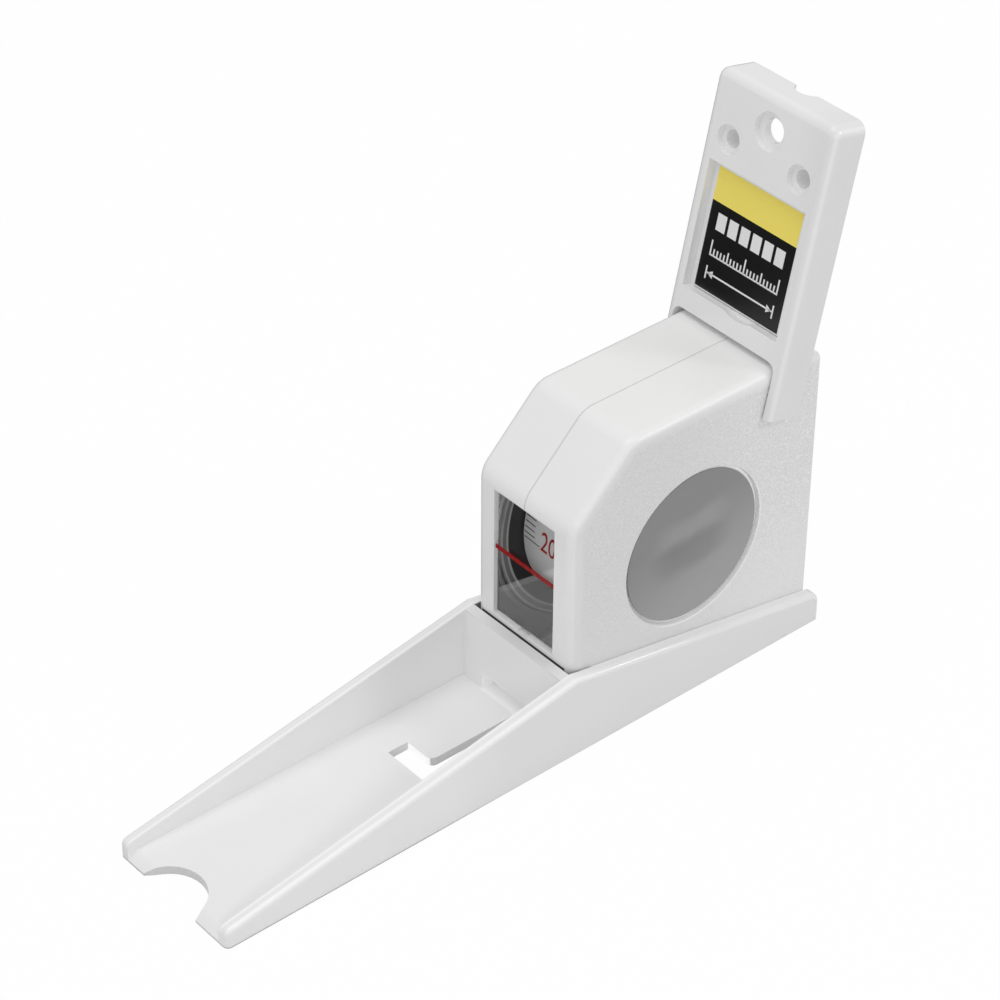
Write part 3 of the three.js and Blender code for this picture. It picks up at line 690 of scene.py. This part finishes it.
def disc_finish():
    """Satin grey with painted sheen: a pale diagonal cloud, a darker patch under it, paler down
    and back.
    """
    material, tree, shader = start_material("disc_grey", Roughness=0.40, Specular_IOR_Level=0.4)
    place = object_place(tree)
    wander = noise(place, scale=75.0, detail=3.0, Roughness=0.6)
    turned = split(mapped(
        place, vector_type="TEXTURE",
        Location=(0.0, reel_axis.y, reel_axis.z), Rotation=(disc_turn, 0.0, 0.0),
    ))
    shift = math_step("MULTIPLY_ADD", wander, 5 * mm, -2.5 * mm)
    across = math_step("ADD", turned["Z"], shift)
    along = math_step("ADD", math_step("ABSOLUTE", turned["Y"]), shift)
    ends = below(along, 5 * mm, 9 * mm)
    # Painted sheen: the tone runs paler down and back, with a pale cloud and a darker patch.
    slanted = math_step("MULTIPLY_ADD", turned["Y"], disc_slant, across)
    tone = remap(slanted, -18 * mm, 12 * mm, disc_sheen_pale, disc_sheen_dark)
    cloud = all_of(below(across, 6.5 * mm, 4 * mm), ends, above(across, 5 * mm, 3 * mm))
    patch = all_of(below(across, 0.5 * mm, 3.3 * mm), ends, above(across, -3 * mm, 5 * mm))
    for share, change in ((cloud, 0.05), (patch, -0.06)):
        tone = math_step("MULTIPLY_ADD", share, change, tone)
    tree.links.new(tone, shader.inputs["Base Color"])
    speck = noise(place, scale=2600.0, detail=2.0)
    add_bump(tree, shader, speck, strength=0.12, distance=0.05 * mm)
    return material

def reel_finish(rim_radius, inner_face):
    """Black moulding, grey near the flanges' rim, with painted highlights: the rim and two rings.
    """
    material, tree, shader = start_material("reel_black", Roughness=0.42)
    place = object_place(tree)
    inside_rim = math_step("SUBTRACT", rim_radius, reel_radius(place))
    rings = math_step(
        "ADD", between(inside_rim, *outer_highlight_ring, 0.1 * mm),
        between(inside_rim, *inner_highlight_ring, 0.15 * mm),
    )
    side = math_step("ABSOLUTE", split(place)["X"])
    on_face = math_step("LESS_THAN", side, inner_face + 0.05 * mm)
    speck = noise(place, scale=900.0, detail=3.0)
    colour = mix_colours(speck, grey(0.008), grey(0.022))
    # Grey near the rim, then painted highlights on the rim's edge and in the two rings.
    for share, tone in (
        (below(inside_rim, 2.2 * mm, 0.2 * mm), 0.26),
        (below(inside_rim, 0.08 * mm, 0.03 * mm), 0.60),
        (all_of(rings, on_face), 0.62),
    ):
        colour = mix_colours(share, colour, grey(tone))
    tree.links.new(colour, shader.inputs["Base Color"])
    add_bump(tree, shader, speck, strength=0.2, distance=0.06 * mm)
    return material

def tape_finish():
    """Satin white. A painted glow stands for window light lifting the front of the coil."""
    material, tree, shader = start_material("tape_white", Roughness=0.4)
    place = object_place(tree)
    cloud = noise(place, scale=120.0, detail=2.0)
    tree.links.new(mix_colours(cloud, grey(0.86), grey(0.93)), shader.inputs["Base Color"])
    apart = split(place)
    lit = all_of(
        remap(apart["Z"], tape_lit_from, tape_lit_to, 0.022, 0.062),
        below(apart["Y"], 0.0, 5 * mm),
    )
    shader.inputs["Emission Color"].default_value = grey(1.0)
    tree.links.new(lit, shader.inputs["Emission Strength"])
    weave = noise(place, scale=1500.0, detail=2.0)
    add_bump(tree, shader, weave, strength=0.15, distance=0.03 * mm)
    return material

def steel_finish(name, tone, roughness):
    material, tree, shader = start_material(name, Metallic=1.0, Roughness=roughness)
    stretched = mapped(object_place(tree), Scale=(0.15, 1.0, 1.0))
    marks = noise(stretched, scale=1800.0, detail=4.0)
    colour = mix_colours(marks, grey(tone * 0.85), grey(tone))
    dull = remap(marks, 0.3, 0.7, roughness - 0.06, roughness + 0.1)
    tree.links.new(colour, shader.inputs["Base Color"])
    tree.links.new(dull, shader.inputs["Roughness"])
    return material

flange_low, flange_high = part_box("reel_flange")
flange_radius = (flange_high.z - flange_low.z) / 2
disc_grey = disc_finish()
reel_black = reel_finish(flange_radius, flange_low.x)
tape_white = tape_finish()
screw_steel = steel_finish("screw_steel", 0.62, 0.3)
spring_steel = steel_finish("spring_steel", 0.22, 0.34)
print("flange radius", round(flange_radius / mm, 1), "mm")

# %% [markdown]
# The window is clear moulded plastic, so it both shows the reel and mirrors the white plate in
# front of it. Printed colours, red for the reading line and numerals and black for the
# graduations, are inks with a slightly uneven coat.

# %% Window and inks
def clear_plastic():
    """Clear moulding. Light that only passes on its way to the reel is let straight through."""
    material, tree, shader = start_material(
        "clear_lens", Base_Color=(0.985, 0.99, 0.99, 1.0), Roughness=0.015, IOR=1.52,
        Transmission_Weight=1.0,
    )
    wave = noise(object_place(tree), scale=60.0, detail=1.0)
    add_bump(tree, shader, wave, strength=0.04, distance=0.1 * mm)
    path = add_node(tree, "ShaderNodeLightPath").outputs
    passing = math_step("MAXIMUM", path["Is Shadow Ray"], path["Is Diffuse Ray"])
    through = add_node(tree, "ShaderNodeBsdfTransparent", Color=grey(0.92))
    mix_shaders(tree, passing, shader, through, tree.nodes["Material Output"])
    return material

def ink(name, colour, thin):
    """Printed colour, and the tone that it has where its coat is thin."""
    material, tree, shader = start_material(name, Roughness=0.45, Specular_IOR_Level=0.25)
    coat = noise(object_place(tree), scale=650.0, detail=3.0)
    share = remap(coat, 0.35, 0.75)
    tree.links.new(mix_colours(share, colour, thin), shader.inputs["Base Color"])
    return material

clear_lens = clear_plastic()
line_red = ink("line_red", (0.30, 0.002, 0.002, 1.0), (0.36, 0.004, 0.004, 1.0))
numeral_red = ink("numeral_red", (0.48, 0.006, 0.006, 1.0), (0.55, 0.02, 0.015, 1.0))
scale_black = ink("scale_black", grey(0.010), grey(0.035))
print("window and inks ready")

# %% [markdown]
# A solid from the frame has crisp edges and flat facets. A real moulding has small radii on every
# edge, and they catch the light. So each visible moulding is shown by a copy: its points are
# merged, flat areas are joined into whole faces, sharp edges are bevelled, and smooth shading
# with weighted normals hides the facets of its rounds.

# %% Softening
merge_distance = 0.001 * mm
flat_limit = math.radians(0.3)
sharp_limit = math.radians(34)
shading_limit = math.radians(50)

def add_piece(name, mesh, material, body):
    piece = add_object(name, mesh)
    mesh.materials.clear()
    mesh.materials.append(material)
    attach(piece, body)
    return piece

def sharp_edges(form):
    return [
        edge for edge in form.edges
        if len(edge.link_faces) == 2 and edge.calc_face_angle() > sharp_limit
    ]

def round_edges(form, edges, edge_round, segments=3):
    bmesh.ops.bevel(
        form, geom=edges, offset=edge_round, offset_type="OFFSET", segments=segments,
        profile=0.5, affect="EDGES", material=-1, clamp_overlap=True,
    )
    return len(edges)

def soften(form, edge_round):
    return round_edges(form, sharp_edges(form), edge_round, segments=2)

def shade_smooth(piece):
    mesh = piece.data
    mesh.shade_smooth()
    mesh.set_sharp_from_angle(angle=shading_limit)
    weighted = piece.modifiers.new("weighted_normals", "WEIGHTED_NORMAL")
    weighted.keep_sharp = True
    weighted.mode = "FACE_AREA"

def merged_form(node):
    form = bmesh.new()
    form.from_mesh(nodes[node].data)
    bmesh.ops.remove_doubles(form, verts=form.verts, dist=merge_distance)
    bmesh.ops.dissolve_limit(form, angle_limit=flat_limit, verts=form.verts, edges=form.edges)
    return form

def softened_copy(node, material, body, edge_round, wider=(), prepare=None):
    form = merged_form(node)
    if prepare:
        prepare(form)
    for chosen, wide_round in wider:
        print(node, "wider rounds:", round_edges(form, chosen(form), wide_round))
    count = soften(form, edge_round) if edge_round else 0
    mesh = mesh_from(form, node + "_moulding")
    piece = add_piece(node + "_moulding", mesh, material, body)
    shade_smooth(piece)
    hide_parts(node)
    print(node, "softened edges:", count, "faces:", len(mesh.polygons))

print("softening ready, sharp from", round(math.degrees(sharp_limit)), "degrees")

# %% [markdown]
# Some edges have a wider round than the rest, and each kind is picked out by its place on the
# part. A few forms are also adjusted in the copy: the notch's left mouth is eased outwards, the
# gap behind the cross wall is opened so that it reads as a dark line, the red line is as wide as
# the paint over its edges, and the disc is trimmed so that its recess shows as a pale ring.

# %% Softened copies of the mouldings
long_edge = 20 * mm
gap_in_frame = 0.3 * mm
gap_opening = 0.3 * mm
mouth_from = -11 * mm
mouth_depth = 3.2 * mm
mouth_flare = 1.2 * mm
line_widening = 1.3
disc_trim = 0.017
disc_low, disc_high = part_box("side_disc")
disc_middle = (disc_low + disc_high) / 2

def tray_creases(form):
    """The long inner corners between the tray's floor and its side walls."""
    return [
        edge for edge in sharp_edges(form)
        if not edge.is_convex and edge.calc_length() > long_edge
    ]

def tray_rims(form):
    """The long inner edges of the side walls' tops."""
    return [
        edge for edge in sharp_edges(form)
        if edge.is_convex and edge.calc_length() > long_edge
        and all(
            abs(vert.co.x) < case_side + 1.2 * mm and vert.co.z > 3.5 * mm
            for vert in edge.verts
        )
    ]

def tip_posts(form):
    """The upright inner corners where the side walls end at the tip."""
    return [
        edge for edge in sharp_edges(form)
        if edge.is_convex
        and all(
            vert.co.y < plate_low.y + 3 * mm and abs(abs(vert.co.x) - case_side) < 0.6 * mm
            for vert in edge.verts
        )
        and abs(edge.verts[0].co.z - edge.verts[1].co.z) > 0.8 * mm
    ]

def cross_wall_top(form):
    """The front edge of the cross wall's top."""
    wall_front = case_front - cross_wall_depth
    chosen = []
    for edge in sharp_edges(form):
        first, second = (vert.co for vert in edge.verts)
        level = abs(first.z - second.z) < 0.05 * mm and first.z > 15 * mm
        crosses = abs(first.x - second.x) > long_edge
        in_front = all(
            wall_front - 0.2 * mm < end.y < wall_front + 1.9 * mm for end in (first, second)
        )
        if edge.is_convex and level and crosses and in_front:
            chosen.append(edge)
    return chosen

def disc_recess_rim(form):
    """The edge of the round recess in the right shell's side."""
    reach = (disc_high.z - disc_low.z) / 2 + 1 * mm
    return [
        edge for edge in sharp_edges(form)
        if all(
            abs(vert.co.x - case_side) < 0.01 * mm
            and math.hypot(vert.co.y - disc_middle.y, vert.co.z - disc_middle.z) < reach
            for vert in edge.verts
        )
    ]

def shape_plate(form):
    """Draws the cross wall away from the case's front and flares the notch's left mouth."""
    wall_back = case_front - gap_in_frame
    for vert in form.verts:
        at_back = abs(vert.co.y - wall_back) < 0.01 * mm
        if at_back and abs(vert.co.x) < case_side + 0.5 * mm and vert.co.z > 2.5 * mm:
            vert.co.y -= gap_opening
        inwards = vert.co.y - plate_low.y
        if mouth_from < vert.co.x < 0 and inwards < mouth_depth:
            vert.co.x -= mouth_flare * (1 - inwards / mouth_depth) ** 2

def widen_line(form):
    low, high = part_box("reading_line")
    middle = (low.z + high.z) / 2
    for vert in form.verts:
        vert.co.z = middle + (vert.co.z - middle) * line_widening

def trim_disc(form):
    for vert in form.verts:
        for axis in (1, 2):
            vert.co[axis] += (disc_middle[axis] - vert.co[axis]) * disc_trim

plate_rounds = (
    (tip_posts, 2.2 * mm), (tray_creases, 0.9 * mm),
    (tray_rims, 0.7 * mm), (cross_wall_top, 1.8 * mm),
)
softened_copy(
    "head_plate", plate_white, "case", 0.3 * mm,
    wider=plate_rounds, prepare=shape_plate,
)
softened_copy("case_shell_left", case_white, "case", 0.08 * mm)
softened_copy(
    "case_shell_right", case_white, "case", 0.08 * mm,
    wider=((disc_recess_rim, 0.22 * mm),),
)
softened_copy("reading_line", line_red, "case", 0, prepare=widen_line)
softened_copy("wall_bracket", bracket_white, "bracket", 0.22 * mm)
softened_copy("side_disc", disc_grey, "case", 0.12 * mm, prepare=trim_disc)

# %% [markdown]
# The window. Only its front sheet is seen, so the clear moulding is shown as one thin pane that
# fills the opening, with its corners eased. The frame round the back of the real one is hidden
# behind the case's wall.

# %% Window pane
pane_thickness = 0.8 * mm
pane_play = 0.05 * mm

def window_pane():
    line_low, line_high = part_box("reading_line")
    lens_low, lens_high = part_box("window_lens")
    frame_lip = (lens_high.x - lens_low.x - (line_high.x - line_low.x)) / 2
    half = line_high.x - pane_play
    back = lens_low.y + pane_thickness
    inset = frame_lip + pane_play
    form = bmesh.new()
    slab(form, -half, half, lens_low.y, back, lens_low.z + inset, lens_high.z - inset)
    round_edges(form, form.edges[:], 0.1 * mm, segments=2)
    mesh = mesh_from(form, "window_pane")
    pane = add_piece("window_pane", mesh, clear_lens, "case")
    shade_smooth(pane)
    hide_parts("window_lens")
    print("pane:", round(2 * half / mm, 1), "mm wide")

window_pane()

# %% [markdown]
# The seam. One half shell carries a thin tongue that enters the other, so the joint line is a
# shallow groove and not a gap into the dark. The tongue is cut from the left shell's own rim: its
# seam face is kept, drawn in from the edges and thickened across the joint.

# %% Seam tongue
seam_depth = 1.1 * mm
seam_play = 0.02 * mm

def seam_tongue():
    form = merged_form("case_shell_left")
    seam_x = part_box("case_shell_left")[1].x
    across = case_low.x - seam_x
    away = [
        face for face in form.faces if face.calc_center_median().x < seam_x - merge_distance
    ]
    bmesh.ops.delete(form, geom=away, context="FACES")
    rim = bmesh.ops.inset_region(
        form, faces=form.faces[:], thickness=seam_depth, use_even_offset=True,
    )
    bmesh.ops.delete(form, geom=rim["faces"], context="FACES")
    grown = bmesh.ops.extrude_face_region(form, geom=form.faces[:])
    moved = [item for item in grown["geom"] if isinstance(item, bmesh.types.BMVert)]
    bmesh.ops.translate(form, verts=moved, vec=(across - 2 * seam_play, 0, 0))
    bmesh.ops.translate(form, verts=form.verts, vec=(seam_play, 0, 0))
    bmesh.ops.recalc_face_normals(form, faces=form.faces)
    mesh = mesh_from(form, "seam_tongue")
    add_piece("seam_tongue", mesh, case_white, "case")
    print("seam tongue faces:", len(mesh.polygons))

seam_tongue()

# %% [markdown]
# The wound tape shows its printed side through the window: black graduations at its left edge
# and red numerals beside the long ones. The marks are thin raised inks on the coil, placed by
# their distance along its rim from the height of the reel's axis. Numbers fall as the tape goes
# up and back over the coil, because it unwinds over the rear side. The wound tape lies a little
# askew, so its printing runs down to the right.

# %% Graduations on the coil
coil_low, coil_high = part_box("tape_coil")
coil_radius = (coil_high.z - coil_low.z) / 2
coil_left = coil_low.x
mark_step = 1.5 * mm
mark_start = -0.5 * mm
mark_inset = 0.35 * mm
mark_width = 0.24 * mm
short_mark = 3.3 * mm
middle_mark = 4.0 * mm
long_mark = 5.0 * mm
ink_height = 0.03 * mm
marks_shown = 52
marks_per_number = 10
print_skew = Matrix.Rotation(math.radians(4), 4, "Y")

def by_step(step, long, middle, short):
    """Long at each tenth step of a scale, middle at each fifth and short elsewhere."""
    return long if step % 10 == 0 else middle if step % 5 == 0 else short

def coil_turn(along):
    """Turns a mark that was made in front of the axis to its place along the rim."""
    turn = Matrix.Rotation(-along / coil_radius, 4, "X")
    return Matrix.Translation(reel_axis) @ turn

def graduation_marks():
    form = bmesh.new()
    thick, wide = ink_height, mark_width / 2
    for step in range(marks_shown):
        length = by_step(step, long_mark, middle_mark, short_mark)
        made = slab(form, -length / 2, length / 2, -thick, thick, -wide, wide)
        middle = coil_left + mark_inset + length / 2
        bmesh.ops.rotate(form, verts=made, matrix=print_skew)
        bmesh.ops.translate(form, verts=made, vec=(middle, -coil_radius, 0))
        bmesh.ops.transform(form, verts=made, matrix=coil_turn(mark_start + step * mark_step))
    mesh = mesh_from(form, "tape_graduations")
    add_piece("tape_graduations", mesh, scale_black, "reel")
    print("graduations:", marks_shown)

graduation_marks()

# %% [markdown]
# The numerals are text turned to mesh. Each is laid flat on the coil's front, cut by a few level
# planes so that it can bend, and then wrapped round the coil by turning every point about the
# axis by its own height.

# %% Numerals on the coil
numeral_height = 5.6 * mm
capital_share = 0.72
numeral_left = 5.65 * mm
numeral_squeeze = 0.68
numeral_drop = -0.75 * mm
numeral_slices = 7
highest_number = 200

def numeral_mesh(text):
    curve = bpy.data.curves.new("numeral", "FONT")
    curve.body = text
    curve.size = numeral_height / capital_share
    curve.extrude = ink_height
    holder = add_object("numeral", curve)
    bpy.context.view_layer.update()
    mesh = bpy.data.meshes.new_from_object(holder)
    bpy.data.objects.remove(holder)
    return mesh

def wrap_numeral(form, along):
    for vert in form.verts:
        bend = Matrix.Rotation(-(vert.co.z + along) / coil_radius, 3, "X")
        flat = Vector((vert.co.x, vert.co.y, 0))
        vert.co = bend @ flat + reel_axis

def bent_numeral(number, along):
    part = bmesh.new()
    part.from_mesh(numeral_mesh(str(number)))
    bmesh.ops.remove_doubles(part, verts=part.verts, dist=merge_distance)
    bmesh.ops.scale(part, verts=part.verts, vec=(numeral_squeeze, 1, 1))
    bmesh.ops.rotate(part, verts=part.verts, matrix=Matrix.Rotation(math.pi / 2, 3, "X"))
    bmesh.ops.rotate(part, verts=part.verts, matrix=print_skew)
    low = min(vert.co.x for vert in part.verts)
    start = coil_left + numeral_left - low
    bmesh.ops.translate(part, verts=part.verts, vec=(start, -coil_radius, 0))
    for cut in range(1, numeral_slices):
        height = numeral_height * (1.2 * cut / numeral_slices - 0.2)
        bmesh.ops.bisect_plane(
            part, geom=part.verts[:] + part.edges[:] + part.faces[:],
            plane_co=(0, 0, height), plane_no=(0, 0, 1), dist=merge_distance,
        )
    wrap_numeral(part, along)
    return mesh_from(part, "bent_numeral")

def coil_numerals():
    form = bmesh.new()
    count = (marks_shown - 1) // marks_per_number + 1
    for index in range(count):
        along = mark_start + numeral_drop + index * marks_per_number * mark_step
        held = bent_numeral(highest_number - index, along)
        form.from_mesh(held)
        bpy.data.meshes.remove(held)
    mesh = mesh_from(form, "tape_numerals")
    add_piece("tape_numerals", mesh, numeral_red, "reel")
    print("numerals:", count, "faces:", len(mesh.polygons))

coil_numerals()

# %% [markdown]
# The straight run of tape leaves the coil at the back and goes up through the roof. It has to
# grow when the tape is pulled, and it is a strip cut into many slices along its height.
# Its graduations come from the height itself, so they keep their spacing however long it gets.

# %% Tape run
run_low, run_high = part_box("tape_run")
end_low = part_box("tape_end")[0]
run_slices = 24
printed_black = 0.015

def printed_tape():
    material = tape_white.copy()
    material.name = "tape_printed"
    tree = material.node_tree
    base = tree.nodes["Principled BSDF"].inputs["Base Color"]
    plain = base.links[0].from_socket
    apart = split(object_place(tree))
    edge = math_step("SUBTRACT", apart["X"], run_low.x + mark_inset)
    phase = math_step("PINGPONG", apart["Z"], mark_step / 2)
    marked = all_of(
        math_step("LESS_THAN", phase, mark_width / 2),
        math_step("LESS_THAN", edge, short_mark),
        math_step("GREATER_THAN", edge, 0.0),
    )
    tree.links.new(mix_colours(marked, plain, grey(printed_black)), base)
    return material

def tape_strip():
    form = bmesh.new()
    span = run_high.z - run_low.z + (end_low.z - run_high.z) / 2
    slab(form, run_low.x, run_high.x, run_low.y, run_high.y, run_low.z, run_low.z + span)
    upright = [
        edge for edge in form.edges
        if abs(edge.verts[0].co.z - edge.verts[1].co.z) > span / 2
    ]
    bmesh.ops.subdivide_edges(form, edges=upright, cuts=run_slices, use_grid_fill=True)
    strip = add_object("tape_strip", mesh_from(form, "tape_strip"))
    strip.data.materials.append(printed_tape())
    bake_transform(strip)
    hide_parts("tape_run")
    print("tape strip:", round(span / mm, 1), "mm at rest")

tape_strip()

# %% [markdown]
# The label lies in the bracket's recess: a white card with a yellow band over a black panel. The
# panel carries a plain height graphic, a bar scale, a row of graduations and an arrow between two
# stops. The bracket leans back about the tilt pin, so the label is made upright and then turned.

# %% The leaning bracket's frame
lean = math.radians(joints["bracket_tilt"]["range_deg"][1])
pin = Vector(joints["bracket_tilt"]["pos_m"])
pin_behind_face = 5.6 * mm
pin_above_roots = 4.6 * mm
face_to_world = (
    Matrix.Translation(pin)
    @ Matrix.Rotation(-lean, 4, "X")
    @ Matrix.Translation((0, -pin_behind_face, -pin_above_roots))
)
print("bracket leans", round(math.degrees(lean), 1), "degrees")

# %% Label card and its panels
card_half = 13.75 * mm
card_bottom = 7.35 * mm
card_top = 37.6 * mm
band_bottom = 29.05 * mm
card_front = 1.9 * mm
card_thickness = 0.4 * mm
card_border = 0.35 * mm
print_layer = 0.03 * mm

def bracket_piece(name, form, material):
    bmesh.ops.transform(form, verts=form.verts, matrix=face_to_world)
    return add_piece(name, mesh_from(form, name), material, "bracket")

def paper(name, colour, spotted, roughness):
    material, tree, shader = start_material(name, Roughness=roughness)
    fibre = noise(object_place(tree), scale=1100.0, detail=4.0)
    tree.links.new(mix_colours(fibre, colour, spotted), shader.inputs["Base Color"])
    add_bump(tree, shader, fibre, strength=0.1, distance=0.03 * mm)
    return material

label_white = paper("label_white", grey(0.78), grey(0.84), 0.5)
label_yellow = paper("label_yellow", (0.92, 0.76, 0.135, 1.0), (0.95, 0.80, 0.15, 1.0), 0.42)
label_black = paper("label_black", grey(0.004), grey(0.010), 0.3)

def label_card():
    form = bmesh.new()
    back = card_front + card_thickness
    slab(form, -card_half, card_half, card_front, back, card_bottom, card_top)
    soften(form, 0.08 * mm)
    card = bracket_piece("label_card", form, label_white)
    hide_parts("label_plate")
    half = card_half - card_border
    front = card_front - print_layer
    for name, material, low, high in (
        ("label_band", label_yellow, band_bottom, card_top - card_border),
        ("label_panel", label_black, card_bottom + card_border, band_bottom),
    ):
        form = bmesh.new()
        slab(form, -half, half, front, card_front, low, high)
        bracket_piece(name, form, material)
    wide, tall = 2 * card_half / mm, (card_top - card_bottom) / mm
    print("label card:", round(wide, 1), "by", round(tall, 1), "mm")

label_card()

# %% Height graphic on the label
graphic_half = 10.8 * mm
bar_bottom = 22.6 * mm
bar_top = 26.8 * mm
bar_blocks = 6
bar_gap = 0.9 * mm
scale_base = 16.2 * mm
scale_steps = 20
scale_rises = (3.8 * mm, 2.9 * mm, 1.9 * mm)
thin_line = 0.42 * mm
arrow_middle = 12.0 * mm
arrow_stop = 1.6 * mm
arrow_head = 2.2 * mm

def arrow_point(form, side, depth):
    """A flat triangle that points to one side and ends just short of its stop."""
    head = bmesh.ops.create_cone(
        form, cap_ends=True, segments=3,
        radius1=arrow_head / 2, radius2=arrow_head / 2, depth=print_layer,
    )["verts"]
    bmesh.ops.rotate(form, verts=head, matrix=Matrix.Rotation(math.pi / 2, 3, "X"))
    points_up = max(vert.co.z for vert in head) > -min(vert.co.z for vert in head)
    quarter = math.pi / 2 if points_up else -math.pi / 2
    bmesh.ops.rotate(form, verts=head, matrix=Matrix.Rotation(side * quarter, 3, "Y"))
    reach = max(side * vert.co.x for vert in head)
    inset = graphic_half - thin_line - reach
    bmesh.ops.translate(form, verts=head, vec=(side * inset, depth, arrow_middle))

def height_graphic():
    form = bmesh.new()
    back = card_front - print_layer
    front = back - print_layer
    half_line = thin_line / 2

    def printed(left, right, low, high):
        slab(form, left, right, front, back, low, high)

    pitch = (2 * graphic_half + bar_gap) / bar_blocks
    for block in range(bar_blocks):
        left = -graphic_half + block * pitch
        printed(left, left + pitch - bar_gap, bar_bottom, bar_top)
    printed(-graphic_half, graphic_half, scale_base, scale_base + thin_line)
    for step in range(scale_steps + 1):
        place = -graphic_half + 2 * graphic_half * step / scale_steps
        top = scale_base + by_step(step, *scale_rises)
        printed(place - half_line, place + half_line, scale_base, top)
    printed(-graphic_half, graphic_half, arrow_middle - half_line, arrow_middle + half_line)
    for side in (-1, 1):
        stop = side * graphic_half
        low, high = arrow_middle - arrow_stop, arrow_middle + arrow_stop
        printed(stop - half_line, stop + half_line, low, high)
        arrow_point(form, side, (front + back) / 2)
    bracket_piece("label_graphic", form, label_white)
    print("graphic blocks:", bar_blocks, "graduations:", scale_steps + 1)

height_graphic()

# %% [markdown]
# The remaining nodes keep their own meshes, because their shapes are right as they stand, and get
# their finish in their material slots.

# %% Finishes of the other nodes
finishes = {name: screw_steel for name in nodes if "screw" in name}
finishes.update({
    "arbor": screw_steel,
    "tilt_pin": screw_steel,
    "mainspring": spring_steel,
    "reel_spool": reel_black,
    "reel_flange": reel_black,
    "tape_coil": tape_white,
    "tape_end": tape_white,
})
for node, finish in finishes.items():
    own_mesh = nodes[node].data
    own_mesh.materials.clear()
    own_mesh.materials.append(finish)
print("dressed:", len(finishes), "of", len(nodes), "nodes")
